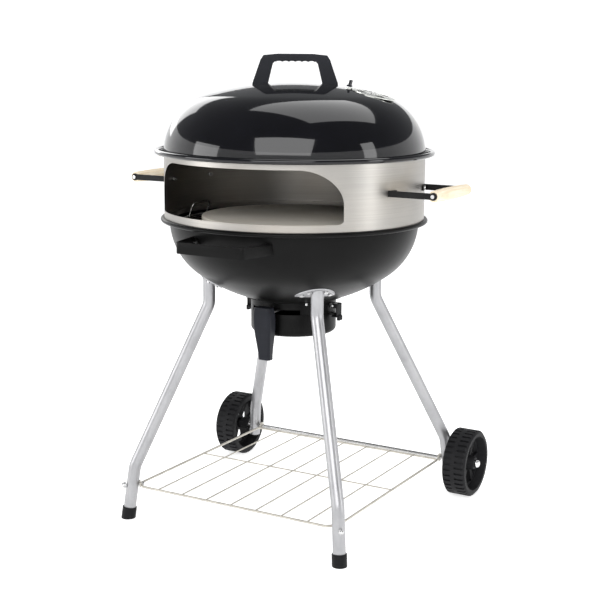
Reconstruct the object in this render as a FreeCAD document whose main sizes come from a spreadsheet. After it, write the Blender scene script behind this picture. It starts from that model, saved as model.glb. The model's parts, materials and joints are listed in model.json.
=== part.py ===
"""Kettle charcoal grill with a pizza ring, on four tube legs with two wheels and a wire rack.

Millimetres. The origin is on the ground under the bowl's vertical axis; the pizza mouth and the
feet face -Y, the wheels are at +Y, and +Z is up. Every driving size is a cell of the sheet.
"""
import FreeCAD, Part
import math
import os
import Sketcher

Vector = FreeCAD.Vector
Placement = FreeCAD.Placement
Rotation = FreeCAD.Rotation

SIZES = [
    # name, value, what it is
    ("sheet_wall", 1.2, "enamelled steel of the bowl, lid and ash pot"),
    ("bowl_radius", 259.0, "outside of the bowl's side wall"),
    ("bowl_crown", 40.0, "how much lower the bottom is than a plain quarter bend"),
    ("bowl_side", 6.5, "straight part of the side wall under the rim"),
    ("bowl_depth", 181.5, "bowl from its rim to its lowest point"),
    ("bowl_rim_height", 631.5, "top of the bowl's flat rim"),
    ("bowl_lip", 18.6, "how far the bowl's rolled lip stands out from the wall"),
    ("bowl_bead", 4.2, "radius of the bowl's rolled lip"),
    ("ring_step", 10.8, "how far the pizza ring is outside the bowl's wall"),
    ("ring_wall", 1.0, "stainless sheet of the pizza ring"),
    ("ring_height", 129.0, "pizza ring from the bowl's rim to the lid"),
    ("ring_skirt", 8.0, "depth of the ring's skirt inside the bowl"),
    ("mouth_half_angle", 50.5, "half the mouth's width, in degrees about the axis"),
    ("mouth_sill", 14.5, "sheet left under the mouth"),
    ("mouth_strip", 11.0, "sheet left over the mouth"),
    ("mouth_corner", 67.0, "radius of the mouth's upper corners, seen from the front"),
    ("mouth_low_corner", 8.0, "radius of the mouth's lower corners, seen from the front"),
    ("lid_step", 0.7, "how far the lid's side is outside the ring"),
    ("lid_crown", 19.8, "how much higher the crown is than a plain quarter bend"),
    ("lid_side_top", 1.4, "height above the lid's flange where the bend starts"),
    ("lid_height", 145.2, "lid from its flange to its crown"),
    ("lid_lip", 20.2, "how far the lid's rolled lip stands out from the ring"),
    ("lid_bead", 5.2, "radius of the lid's rolled lip"),
    ("lid_skirt", 6.5, "depth of the lid's skirt inside the ring"),
    ("lid_turn", 30.16, "how far the loose lid is turned about the axis"),
    ("seat_gap", 0.3, "clearance under parts that lift off"),
    ("weld_gap", 0.1, "film between parts that are screwed together"),
    ("handle_height", 57.5, "top of the lid handle above the crown"),
    ("handle_foot", 89.0, "half the length of the lid handle at its feet"),
    ("handle_slope", 18.0, "how much shorter the lid handle is at its top, each end"),
    ("handle_post", 34.0, "width of each post of the lid handle at the lid"),
    ("handle_flare", 9.0, "how much narrower the finger gap is under the grip, each end"),
    ("handle_grip", 16.0, "height of the lid handle's grip bar"),
    ("handle_depth", 30.0, "lid handle across"),
    ("damper_radius", 46.5, "lid damper disc"),
    ("damper_inset", 104.5, "lid damper's middle inside the lid's side"),
    ("damper_turn", -19.0, "where the lid damper is, in degrees from the handle's line"),
    ("damper_hole", 9.5, "radius of a vent hole in the lid and damper"),
    ("damper_pitch", 27.0, "distance of the vent holes from the damper's middle"),
    ("leg_tube", 12.7, "outer radius of the leg tube"),
    ("leg_wall", 1.2, "wall of the leg tube"),
    ("leg_inset", 77.5, "leg's upper stub inside the bowl's side wall"),
    ("leg_bend_rise", 2.0, "leg's upper bend above the bowl's lowest point"),
    ("front_knee_spread", 160.5, "front leg's lower bend out from its upper stub"),
    ("front_knee_height", 112.0, "height of the front leg's lower bend"),
    ("front_toe", 15.0, "front leg's foot out from its lower bend"),
    ("rear_knee_spread", 170.5, "rear leg's lower bend out from its upper stub"),
    ("rear_knee_height", 125.0, "height of the rear leg's lower bend"),
    ("rear_toe", 11.5, "rear leg's end out from its lower bend"),
    ("rear_foot_height", 52.0, "height of the rear leg's end"),
    ("leg_bend", 45.0, "centre-line radius of the leg's bends"),
    ("foot_cap_wall", 2.2, "plastic wall of the foot cap"),
    ("foot_cap_height", 24.0, "height of the foot cap"),
    ("plate_wall", 2.0, "steel plate at the top of each leg"),
    ("plate_arc", 42.0, "radius of the half-moon leg plate"),
    ("wheel_radius", 73.6, "wheel over its tread"),
    ("wheel_width", 54.0, "wheel from face to face"),
    ("wheel_side_gap", 2.6, "gap between the leg tube and the wheel's inner face"),
    ("tread_depth", 3.0, "depth of the tread grooves"),
    ("tread_count", 36.0, "tread blocks around the wheel"),
    ("axle_radius", 4.0, "steel axle rod"),
    ("axle_clearance", 0.08, "running clearance of wheel on axle"),
    ("rack_height", 71.6, "centre line of the rack's frame wire"),
    ("rack_leg_gap", 5.2, "rack's side wires inside the rear legs"),
    ("rack_overhang", 1.4, "rack's front wire ahead of the front legs' middle"),
    ("rack_wire", 2.5, "radius of the rack's frame wire"),
    ("rack_rod", 1.6, "radius of the rack's inner wires"),
    ("rack_rods", 7.0, "inner wires from front to back"),
    ("grate_gap", 10.0, "cooking grate inside the bowl's side wall"),
    ("grate_drop", 15.0, "cooking grate's rim wire below the bowl's rim"),
    ("grate_wire", 3.0, "radius of a grate's rim wire"),
    ("grate_rod", 1.75, "radius of a grate's bars"),
    ("bar_lift", 2.04, "centre line of a grate's bars above its rim wire's"),
    ("grate_pitch", 20.0, "spacing of the cooking grate's bars"),
    ("coal_gap", 9.0, "charcoal grate inside the bowl's bend"),
    ("coal_rise", 90.0, "charcoal grate's rim wire above the bowl's lowest point"),
    ("coal_pitch", 24.0, "spacing of the charcoal grate's bars"),
    ("stone_margin", 56.0, "stone's edge inside the grate's rim wire"),
    ("stone_thickness", 13.0, "pizza stone"),
    ("arm_spread", 80.0, "ring handle arms either side of the middle"),
    ("arm_length", 81.2, "ring handle's grip out from the ring"),
    ("arm_height", 68.5, "ring handles above the bowl's rim"),
    ("arm_bar", 12.0, "height of a ring handle's flat arm"),
    ("arm_thickness", 3.0, "thickness of a ring handle's flat arm"),
    ("grip_radius", 12.5, "wooden grip"),
    ("pull_half_length", 76.0, "half the length of the bowl's front handle"),
    ("pull_stand", 62.0, "front of the bowl's handle out from the bowl's wall"),
    ("pull_spread", 17.0, "how much wider the bowl handle is at its feet, each end"),
    ("pull_height", 22.0, "height of the bowl handle's strip"),
    ("pull_drop", 22.5, "top edge of the bowl handle's strip below the rim"),
    ("pull_thickness", 3.0, "thickness of the bowl handle's strip"),
    ("pot_radius", 90.0, "ash pot and its collar"),
    ("pot_depth", 47.0, "height of the ash pot"),
    ("pot_drop", 13.0, "rim of the ash pot below the bowl's lowest point"),
    ("pot_corner", 9.0, "bend at the bottom of the ash pot"),
    ("shaft_radius", 6.0, "shaft that turns the ash sweeper"),
    ("shaft_clearance", 0.08, "running clearance of the sweeper's shaft"),
    ("lever_rise", 4.5, "underside of the lever arm above the ash pot's rim"),
    ("lever_thickness", 3.0, "sweeper's lever arm"),
    ("lever_stand", 30.0, "lever's hanging grip out from the ash pot"),
    ("lever_swing", 30.0, "how far the lever turns each way, in degrees"),
    ("lever_hang", 95.5, "lower end of the lever's grip below its arm"),
    ("blade_overlap", 12.0, "how far a sweeper blade runs past the ash slots"),
    ("blade_cover", 6.0, "how far a sweeper blade covers past a slot's side, in degrees"),
    ("vent_inner", 28.0, "inner end of the ash slots in the bowl"),
    ("vent_inset", 10.0, "outer end of the ash slots inside the ash pot's wall"),
    ("vent_half_angle", 20.0, "half the angle of an ash slot"),
    ("bolt_radius", 2.5, "small bolts' shanks"),
    ("bolt_head", 4.6, "small bolts' heads"),
    ("bolt_head_height", 2.6, "small bolts' heads"),
    ("nut_height", 3.4, "small nuts"),
    ("bolt_clearance", 0.15, "radial clearance of bolts in their holes"),
    ("latch_pin", 2.0, "pot latch's hinge pin"),
]

doc = FreeCAD.newDocument("kettle_grill")
sheet = doc.addObject("Spreadsheet::Sheet", "Sizes")


class Size:
    """A length or an angle that keeps the sheet expression it was worked out from."""

    def __init__(self, value, text):
        self.value = float(value)
        self.text = text

    def __float__(self):
        return self.value

    def __add__(self, other):
        return join(self, "+", other, self.value + float(other))

    def __radd__(self, other):
        return join(other, "+", self, float(other) + self.value)

    def __sub__(self, other):
        return join(self, "-", other, self.value - float(other))

    def __rsub__(self, other):
        return join(other, "-", self, float(other) - self.value)

    def __mul__(self, other):
        return join(self, "*", other, self.value * float(other))

    def __rmul__(self, other):
        return join(other, "*", self, float(other) * self.value)

    def __truediv__(self, other):
        return join(self, "/", other, self.value / float(other))

    def __neg__(self):
        return Size(-self.value, f"(0 - {self.text})")


def expression(value):
    return value.text if isinstance(value, Size) else repr(float(value))


def join(left, sign, right, value):
    return Size(value, f"({expression(left)} {sign} {expression(right)})")


def root(value):
    return Size(math.sqrt(float(value)), f"sqrt({expression(value)})")


def cosine(degrees):
    return Size(math.cos(math.radians(float(degrees))), f"cos({expression(degrees)})")


def sine(degrees):
    return Size(math.sin(math.radians(float(degrees))), f"sin({expression(degrees)})")


class Sheet:
    """The driving sizes, as attributes named after the sheet's aliases."""


def fill_sheet():
    """Writes every driving size into the sheet and returns them as Size values."""
    named = Sheet()
    for row, (name, value, note) in enumerate(SIZES, start=1):
        sheet.set(f"A{row}", name)
        sheet.set(f"B{row}", str(value))
        sheet.set(f"C{row}", note)
        sheet.setAlias(f"B{row}", name)
        setattr(named, name, Size(value, f"Sizes.{name}"))
    doc.recompute()
    return named


D = fill_sheet()
nodes = []


def work_out(name, value, note):
    """Adds a size that follows from others as a formula of the sheet."""
    row = len(SIZES) + 2 + len(worked)
    sheet.set(f"A{row}", name)
    sheet.set(f"B{row}", "=" + value.text.replace("Sizes.", ""))
    sheet.set(f"C{row}", note)
    sheet.setAlias(f"B{row}", name)
    worked.append(name)
    setattr(D, name, Size(value.value, f"Sizes.{name}"))


worked = []
work_out("bowl_bottom", D.bowl_rim_height - D.bowl_depth, "height of the bowl's lowest point")
work_out("bowl_side_base", D.bowl_rim_height - D.bowl_side, "height where the bowl's bend starts")
work_out("bowl_knuckle", D.bowl_depth - D.bowl_side - D.bowl_crown, "radius of the bowl's bend")
work_out("bowl_lip_radius", D.bowl_radius + D.bowl_lip, "outside of the bowl's rolled lip")
work_out("ring_radius", D.bowl_radius + D.ring_step, "outside of the pizza ring")
work_out("mouth_height", D.ring_height - D.mouth_sill - D.mouth_strip, "mouth from sill to top")
work_out("lid_radius", D.ring_radius + D.lid_step, "outside of the lid's side")
work_out("lid_knuckle", D.lid_height - D.lid_side_top - D.lid_crown, "radius of the lid's bend")
work_out("lid_lip_radius", D.ring_radius + D.lid_lip, "outside of the lid's rolled lip")
work_out("handle_shoulder", D.handle_foot - D.handle_slope, "half the lid handle's length at its top")
work_out("handle_reach", D.handle_foot - D.handle_post, "half the finger gap at the lid")
work_out("handle_inner", D.handle_reach - D.handle_flare, "half the finger gap under the grip")
work_out("damper_reach", D.lid_radius - D.damper_inset, "lid damper from the lid's axis")
work_out("leg_top_reach", D.bowl_radius - D.leg_inset, "leg's upper stub from the axis")
work_out("leg_upper_bend", D.bowl_bottom + D.leg_bend_rise, "height of the leg's upper bend")
work_out("front_knee_reach", D.leg_top_reach + D.front_knee_spread, "front leg's lower bend")
work_out("front_foot_reach", D.front_knee_reach + D.front_toe, "front leg's foot")
work_out("rear_knee_reach", D.leg_top_reach + D.rear_knee_spread, "rear leg's lower bend")
work_out("rear_foot_reach", D.rear_knee_reach + D.rear_toe, "rear leg's end")
work_out("grate_radius", D.bowl_radius - D.grate_gap, "cooking grate over its rim wire")
work_out("grate_height", D.bowl_rim_height - D.grate_drop, "height of the cooking grate's rim wire")
work_out("coal_height", D.bowl_bottom + D.coal_rise, "height of the charcoal grate's rim wire")
work_out("stone_radius", D.grate_radius - D.stone_margin, "pizza stone")
work_out("arm_reach", D.ring_radius + D.arm_length, "ring handle's grip from the axis")
work_out("pull_reach", D.bowl_radius + D.pull_stand, "front of the bowl's handle from the axis")
work_out("pull_foot", D.pull_half_length + D.pull_spread, "half the spread of the handle's feet")
work_out("pull_top", D.bowl_rim_height - D.pull_drop, "top edge of the bowl handle's strip")
work_out("pot_top", D.bowl_bottom - D.pot_drop, "rim of the ash pot")
work_out("pot_bottom", D.pot_top - D.pot_depth, "underside of the ash pot")
work_out("lever_height", D.pot_top + D.lever_rise, "underside of the sweeper's lever arm")
work_out("lever_reach", D.pot_radius + D.lever_stand, "lever's grip from the axis")
work_out("lever_drop", D.lever_height - D.lever_hang, "lower end of the lever's grip")
work_out("vent_outer", D.pot_radius - D.vent_inset, "outer end of the ash slots")
work_out("blade_reach", D.vent_outer + D.blade_overlap, "length of a sweeper blade from the axis")
work_out("blade_half_angle", D.vent_half_angle + D.blade_cover, "half the angle of a sweeper blade")
doc.recompute()


# ---- helpers -------------------------------------------------------------------------------

def node(thing, name, placement=None):
    """Marks an object as a sub-part: its label names its file."""
    thing.Label = name
    if placement is not None:
        thing.Placement = placement
    nodes.append(thing)
    return thing


def bind(thing, **values):
    """Binds an object's properties to sheet expressions."""
    for prop, value in values.items():
        thing.setExpression(prop, expression(value))
    return thing


def at(x=0, y=0, z=0):
    return Vector(float(x), float(y), float(z))


def turned(degrees, about=Vector(0, 0, 1), base=Vector(0, 0, 0)):
    return Placement(base, Rotation(about, float(degrees)))


def along(base, direction):
    """A placement that puts an object's own Z along a direction."""
    return Placement(base, Rotation(Vector(0, 0, 1), direction))


def box(name, low, length, width, height, frame=None):
    """A box from its low corner, in a frame of its own where one is given."""
    solid = doc.addObject("Part::Box", name)
    bind(solid, Length=length, Width=width, Height=height)
    if frame is not None:
        solid.Placement = frame * Placement(at(*low), Rotation())
        return solid
    for letter, value in zip("xyz", low):
        solid.setExpression(f"Placement.Base.{letter}", expression(value))
    return solid


def cylinder(name, radius, height, placement=None):
    solid = doc.addObject("Part::Cylinder", name)
    bind(solid, Radius=radius, Height=height)
    if placement is not None:
        solid.Placement = placement
    return solid


def upright(name, radius, height, x=0, y=0, z=0):
    """A cylinder along Z whose base is bound to the sheet."""
    solid = cylinder(name, radius, height)
    for letter, value in zip("xyz", (x, y, z)):
        solid.setExpression(f"Placement.Base.{letter}", expression(value))
    return solid


def sphere(name, radius, centre_z):
    solid = doc.addObject("Part::Sphere", name)
    bind(solid, Radius=radius)
    solid.setExpression("Placement.Base.z", expression(centre_z))
    return solid


def ball(name, radius, centre):
    """A small sphere at any place."""
    solid = doc.addObject("Part::Sphere", name)
    bind(solid, Radius=radius)
    solid.Placement = Placement(centre, Rotation())
    return solid


def torus(name, ring, wire, z=0):
    solid = doc.addObject("Part::Torus", name)
    bind(solid, Radius1=ring, Radius2=wire)
    solid.setExpression("Placement.Base.z", expression(z))
    return solid


def fuse(name, solids):
    joined = doc.addObject("Part::MultiFuse", name)
    joined.Shapes = solids
    return joined


def cut(name, base, tool):
    less = doc.addObject("Part::Cut", name)
    less.Base = base
    less.Tool = tool
    return less


def common(name, one, other):
    shared = doc.addObject("Part::Common", name)
    shared.Base = one
    shared.Tool = other
    return shared


def group(name, solids):
    """Separate solids that make one sub-part, such as a set of screws."""
    several = doc.addObject("Part::Compound", name)
    several.Links = solids
    return node(several, name)


def new_body(name):
    return doc.addObject("PartDesign::Body", name)


def new_sketch(body, name, role, height=None):
    """A sketch on one of the body's origin planes, raised off it by a height."""
    drawing = body.newObject("Sketcher::SketchObject", name)
    support = next(part for part in body.Origin.OriginFeatures if part.Role == role)
    drawing.AttachmentSupport = (support, [""])
    drawing.MapMode = "FlatFace"
    if height is not None:
        drawing.setExpression("AttachmentOffset.Base.z", expression(height))
    return drawing


def pin_vertex(drawing, curve, end, x, y):
    """Ties one end of a curve to a place given by sheet expressions."""
    for kind, value, axis in (("DistanceX", x, -2), ("DistanceY", y, -1)):
        if float(value) == 0:
            drawing.addConstraint(Sketcher.Constraint("PointOnObject", curve, end, axis))
            continue
        rule = Sketcher.Constraint(kind, -1, 1, curve, end, float(value))
        index = drawing.addConstraint(rule)
        drawing.setExpression(f"Constraints[{index}]", expression(value))


def outline(drawing, corners):
    """Draws a closed outline and ties it to the sheet.

    A corner is (x, y), or (x, y, turn, centre x, centre y, radius) where the edge that leaves it
    is an arc: turn is 1 for anticlockwise and -1 for clockwise.
    """
    count = len(corners)
    first = drawing.GeometryCount
    starts = []
    for here, there in zip(corners, corners[1:] + corners[:1]):
        start, end = at(*here[:2]), at(*there[:2])
        if len(here) == 2:
            drawing.addGeometry(Part.LineSegment(start, end), False)
            starts.append((1, 2))
            continue
        turn, centre = here[2], at(here[3], here[4])
        circle = Part.Circle(centre, Vector(0, 0, 1), float(here[5]))
        one, two = (start, end) if turn > 0 else (end, start)
        low = math.atan2(one.y - centre.y, one.x - centre.x)
        high = math.atan2(two.y - centre.y, two.x - centre.x)
        drawing.addGeometry(Part.ArcOfCircle(circle, low, high), False)
        starts.append((1, 2) if turn > 0 else (2, 1))
    for index, corner in enumerate(corners):
        curve, (begin, _) = first + index, starts[index]
        before, (_, finish) = first + (index - 1) % count, starts[index - 1]
        drawing.addConstraint(Sketcher.Constraint("Coincident", before, finish, curve, begin))
        pin_vertex(drawing, curve, begin, corner[0], corner[1])
        if len(corner) > 2:
            rule = Sketcher.Constraint("Radius", curve, float(corner[5]))
            number = drawing.addConstraint(rule)
            drawing.setExpression(f"Constraints[{number}]", expression(corner[5]))


def circle_in(drawing, x, y, radius):
    """Draws a circle and ties its centre and radius to the sheet."""
    round_edge = Part.Circle(at(x, y), Vector(0, 0, 1), float(radius))
    index = drawing.addGeometry(round_edge, False)
    pin_vertex(drawing, index, 3, x, y)
    number = drawing.addConstraint(Sketcher.Constraint("Radius", index, float(radius)))
    drawing.setExpression(f"Constraints[{number}]", expression(radius))


def revolved(name, corners):
    """A body turned about the vertical axis from an outline of (radius, height) corners."""
    body = new_body(name)
    drawing = new_sketch(body, name + "_profile", "XZ_Plane")
    outline(drawing, corners)
    turn = body.newObject("PartDesign::Revolution", name + "_turn")
    turn.Profile = drawing
    turn.ReferenceAxis = (drawing, ["V_Axis"])
    turn.Angle = 360
    body.Tip = turn
    return body


def padded(name, corners, role, thickness, height=None):
    """A body padded both ways from a plane, from a closed outline."""
    body = new_body(name)
    drawing = new_sketch(body, name + "_outline", role, height)
    outline(drawing, corners)
    pad = body.newObject("PartDesign::Pad", name + "_pad")
    pad.Profile = drawing
    pad.SideType = "Symmetric"
    bind(pad, Length=thickness)
    body.Tip = pad
    return body


def hexagon(name, half_width, height, placement):
    """A nut blank: a prism with six sides."""
    prism = doc.addObject("Part::Prism", name)
    prism.Polygon = 6
    bind(prism, Circumradius=half_width / cosine(30), Height=height)
    prism.Placement = placement
    return prism


def bolt(name, base, direction, length, head=None, head_height=None, shank=None):
    """A round-headed bolt: its head stands off the base, its shank points along direction."""
    head = D.bolt_head if head is None else head
    head_height = D.bolt_head_height if head_height is None else head_height
    shank = D.bolt_radius if shank is None else shank
    cap = cylinder(name + "_head", head, head_height, along(base, direction * -1))
    rod = cylinder(name + "_shank", shank, length, along(base, direction))
    return fuse(name, [cap, rod])


def nut(name, base, direction, bore=None, half_width=None, height=None):
    """A hexagon nut whose seat is on the base and whose body stands along direction."""
    bore = D.bolt_radius + D.bolt_clearance / 3 if bore is None else bore
    half_width = D.bolt_radius * 1.6 if half_width is None else half_width
    height = D.nut_height if height is None else height
    blank = hexagon(name + "_blank", half_width, height, along(base, direction))
    hole = cylinder(name + "_hole", bore, height * 3, along(base - direction * float(height), direction))
    return cut(name, blank, hole)


def drill(name, base, direction, radius, length):
    """A hole's cutter, centred on the base and running both ways."""
    start = base - direction * (float(length) / 2)
    return cylinder(name, radius, length, along(start, direction))


class Dome:
    """A dished shell: a side wall, a bend and a crown whose arcs meet without a kink.

    way is 1 where the crown is above the side wall (the lid) and -1 below it (the bowl).
    """

    def __init__(self, radius, knuckle, side, crown, way):
        self.radius, self.knuckle, self.side, self.crown, self.way = radius, knuckle, side, crown, way
        inward = radius - knuckle
        rise = (crown - side) * way
        self.crown_radius = (inward * inward + rise * rise - knuckle * knuckle) / ((rise - knuckle) * 2)
        self.centre = crown - self.crown_radius * way
        self.sine = inward / (self.crown_radius - knuckle)
        self.cosine = (self.crown_radius - rise) / (self.crown_radius - knuckle)

    def meeting(self, wall):
        """Where bend and crown meet, on the surface that lies a wall's depth inside."""
        arm = self.crown_radius - wall
        return arm * self.sine, self.centre + arm * self.cosine * self.way

    def height_at(self, reach, wall=0.0):
        """Height of the crown at a distance from the axis."""
        arm = float(self.crown_radius) - float(wall)
        return float(self.centre) + self.way * math.sqrt(arm * arm - float(reach) ** 2)

    def normal_at(self, x, y):
        """Outward direction of the crown over a place in plan."""
        rise = self.height_at(math.hypot(float(x), float(y))) - float(self.centre)
        return at(x, y, rise).normalize()

    def point_at(self, x, y, outside=0.0):
        """A place on the crown, or a little outside it."""
        direction = self.normal_at(x, y)
        return at(0, 0, self.centre) + direction * (float(self.crown_radius) + float(outside))


bowl_dome = Dome(D.bowl_radius, D.bowl_knuckle, D.bowl_side_base, D.bowl_bottom, -1)
ring_top = D.bowl_rim_height + D.seat_gap + D.ring_height
lid_base = ring_top + D.seat_gap
lid_dome = Dome(D.lid_radius, D.lid_knuckle, lid_base + D.lid_side_top, lid_base + D.lid_height, 1)
DIAGONALS = {"front_left": 225, "front_right": 315, "rear_left": 135, "rear_right": 45}
SIDES = {"left": -1, "right": 1}


def polar(reach, degrees, z=0.0):
    angle = math.radians(float(degrees))
    return at(float(reach) * math.cos(angle), float(reach) * math.sin(angle), z)


def leg_bolt_places():
    """The four screws of each leg plate: distance out from the axis, and to the side."""
    out, side, head_room = float(D.leg_top_reach), float(D.plate_arc), 4.1
    near, far = (out + 0.1 * side, float(D.leg_tube) + head_room), (out - 0.24 * side, 0.69 * side)
    return [(reach, way * aside) for reach, aside in (near, far) for way in (-1, 1)]


def leg_bolt_axes():
    """Every leg screw's place on the bowl and its inward direction."""
    for name, angle in DIAGONALS.items():
        for number, (reach, aside) in enumerate(leg_bolt_places()):
            spot = turned(angle).multVec(at(reach, aside))
            yield f"{name}_{number}", spot.x, spot.y


def pull_bolt_axes():
    """The two screws of the bowl's front handle: place on the wall and inward direction."""
    mid = float(D.pull_top) - float(D.pull_height) / 2
    drop = float(D.bowl_side_base) - mid
    knuckle = float(D.bowl_knuckle)
    inward = float(D.bowl_radius) - knuckle
    reach = inward + math.sqrt(knuckle * knuckle - drop * drop)
    for side, way in SIDES.items():
        turn = math.asin(way * (float(D.pull_foot) - float(D.pull_height) / 2 - 1.5) / reach)
        place = at(reach * math.sin(turn), -reach * math.cos(turn), mid)
        slope = drop / knuckle
        flat = math.sqrt(1 - slope * slope)
        inside = at(-flat * math.sin(turn), flat * math.cos(turn), slope)
        yield side, place, inside


# ---- bowl ----------------------------------------------------------------------------------

def make_bowl():
    wall = D.sheet_wall
    rim, lip, bead = D.bowl_rim_height, D.bowl_lip_radius, D.bowl_bead
    outer_r, outer_z = bowl_dome.meeting(0)
    inner_r, inner_z = bowl_dome.meeting(wall)
    inward = D.bowl_radius - D.bowl_knuckle
    notch = root(bead * wall * 2 - wall * wall)
    shell = revolved("bowl_shell", [
        (0, D.bowl_bottom, 1, 0, bowl_dome.centre, bowl_dome.crown_radius),
        (outer_r, outer_z, 1, inward, D.bowl_side_base, D.bowl_knuckle),
        (D.bowl_radius, D.bowl_side_base),
        (D.bowl_radius, rim - wall),
        (lip - bead - notch, rim - wall, 1, lip - bead, rim - bead, bead),
        (lip - bead, rim),
        (D.bowl_radius - wall, rim),
        (D.bowl_radius - wall, D.bowl_side_base, -1, inward, D.bowl_side_base, D.bowl_knuckle - wall),
        (inner_r, inner_z, -1, 0, bowl_dome.centre, bowl_dome.crown_radius - wall),
        (0, D.bowl_bottom + wall),
    ])
    slot = new_sketch(shell, "ash_slot", "XY_Plane")
    side, reach, near = D.vent_half_angle, D.vent_outer, D.vent_inner
    outline(slot, [
        (near * cosine(side), -near * sine(side)),
        (reach * cosine(side), -reach * sine(side), 1, 0, 0, reach),
        (reach * cosine(side), reach * sine(side)),
        (near * cosine(side), near * sine(side), -1, 0, 0, near),
    ])
    slots = shell.newObject("PartDesign::Pocket", "ash_slot_cut")
    slots.Profile = slot
    slots.Type = "Length"
    slots.Reversed = True
    bind(slots, Length=bowl_dome.centre)
    pattern = shell.newObject("PartDesign::PolarPattern", "ash_slots")
    pattern.Originals = [slots]
    pattern.Axis = (slot, ["N_Axis"])
    pattern.Angle = 360
    pattern.Occurrences = 3
    shell.Tip = pattern
    holes = [upright("shaft_hole", D.shaft_radius + D.shaft_clearance, 20, z=D.bowl_bottom - 8)]
    hole = D.bolt_radius + D.bolt_clearance
    for name, x, y in leg_bolt_axes():
        holes.append(drill("leg_hole_" + name, bowl_dome.point_at(x, y), bowl_dome.normal_at(x, y), hole, 12))
    for side_name, place, inside in pull_bolt_axes():
        holes.append(drill("pull_hole_" + side_name, place, inside, hole, 12))
    for number, (x, y) in enumerate(collar_bolt_places()):
        direction = bowl_dome.normal_at(x, y)
        holes.append(drill(f"collar_hole_{number}", bowl_dome.point_at(x, y), direction, hole, 12))
    node(cut("bowl_drilled", shell, fuse("bowl_holes", holes)), "bowl")


def make_tabs(name, grate_level):
    """Four small ledges welded inside the bowl that hold up a grate by its rim wire."""
    length, width, thick, weld = 16.0, 14.0, 2.0, 0.6
    top = grate_level - D.grate_wire - D.seat_gap
    reach = inner_reach(top - thick) - weld
    ledges = []
    for number, angle in enumerate(DIAGONALS.values()):
        frame = turned(angle, base=at(0, 0, float(top) - thick))
        ledges.append(box(f"{name}_{number}", (reach - length, -width / 2, 0), length, width, thick, frame))
    group(name, ledges)


def inner_reach(height):
    """Radius of the bowl's inner surface at a height in its bend or crown."""
    drop = D.bowl_side_base - height
    bend = D.bowl_knuckle - D.sheet_wall
    if float(drop) <= float(bend) * float(bowl_dome.cosine):
        return D.bowl_radius - D.bowl_knuckle + root(bend * bend - drop * drop)
    arm = bowl_dome.crown_radius - D.sheet_wall
    fall = bowl_dome.centre - height
    return root(arm * arm - fall * fall)


# ---- the bowl's front handle ---------------------------------------------------------------

def make_pull():
    """A bent flat strip: a straight front, two splayed arms and a tab against the wall."""
    front, half, foot = D.pull_reach, D.pull_half_length, D.pull_foot
    thick, height = D.pull_thickness, D.pull_height
    lean = math.atan2(float(D.pull_spread), float(D.pull_stand) + 22.0)
    middle = D.pull_top - height / 2
    rear = float(D.bowl_radius) * 0.9
    bend = 10.0
    foot_x = lambda y, offset: float(half) + (float(front) - y) * math.tan(lean) + offset
    inner = float(thick) / math.cos(lean)
    near = float(front) - float(thick)
    outer_turn = (math.pi / 2 - lean) / 2
    step = bend * math.tan(outer_turn)
    inner_step = (bend - float(thick)) * math.tan(outer_turn)
    side = Vector(math.sin(lean), 1 * math.cos(lean), 0)
    corner = at(half, -float(front))
    inner_corner = at(foot_x(near, -inner), -near)
    arm = 1
    p_out = corner + side * step
    q_in = inner_corner + side * inner_step
    centre = at(float(half) - step, -float(front) + bend)
    right = [
        (float(half) - step, -float(front), arm, centre.x, centre.y, bend),
        (p_out.x, p_out.y),
        (foot_x(rear, 0), -rear),
        (foot_x(rear, -inner), -rear),
        (q_in.x, q_in.y, -arm, centre.x, centre.y, bend - float(thick)),
        (float(half) - step, -near),
    ]
    left = [
        (-(float(half) - step), -near, -arm, -centre.x, centre.y, bend - float(thick)),
        (-q_in.x, q_in.y),
        (-foot_x(rear, -inner), -rear),
        (-foot_x(rear, 0), -rear),
        (-p_out.x, p_out.y, arm, -centre.x, centre.y, bend),
        (-(float(half) - step), -float(front)),
    ]
    strip = padded("pull_strip", right + left, "XY_Plane", height, middle)
    tabs = []
    cutters = []
    for name, place, inside in pull_bolt_axes():
        start = place - inside * (float(thick) + float(D.weld_gap))
        tabs.append(cylinder("pull_tab_" + name, height / 2, 12, along(start, inside)))
        cutters.append(drill("pull_bore_" + name, place, inside, D.bolt_radius + D.bolt_clearance, 30))
    wall_side = revolved("pull_trim", pull_trim_corners())
    body = fuse("pull_joined", [strip] + tabs)
    trimmed = cut("pull_trimmed", body, wall_side)
    node(cut("pull_bored", trimmed, fuse("pull_bores", cutters)), "bowl_handle")
    bolts = []
    nuts = []
    for name, place, inside in pull_bolt_axes():
        seat = place - inside * (float(thick) + float(D.weld_gap))
        bolts.append(bolt("pull_bolt_" + name, seat, inside, 12.0))
        nuts.append(nut("pull_nut_" + name, place + inside * (float(D.sheet_wall) + 0.2), inside))
    group("bowl_handle_screws", bolts)
    group("bowl_handle_nuts", nuts)


def pull_trim_corners():
    """The bowl's outer surface with a film's clearance, as a solid to cut the tabs back with."""
    film = D.weld_gap
    inward = D.bowl_radius - D.bowl_knuckle
    knuckle = D.bowl_knuckle + film
    low = D.bowl_side_base - D.bowl_knuckle * 0.6
    reach = inward + root(knuckle * knuckle - (D.bowl_knuckle * 0.6) * (D.bowl_knuckle * 0.6))
    return [
        (0, low),
        (reach, low, 1, inward, D.bowl_side_base, knuckle),
        (D.bowl_radius + film, D.bowl_side_base),
        (0, D.bowl_side_base),
    ]


# ---- legs ----------------------------------------------------------------------------------

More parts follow.
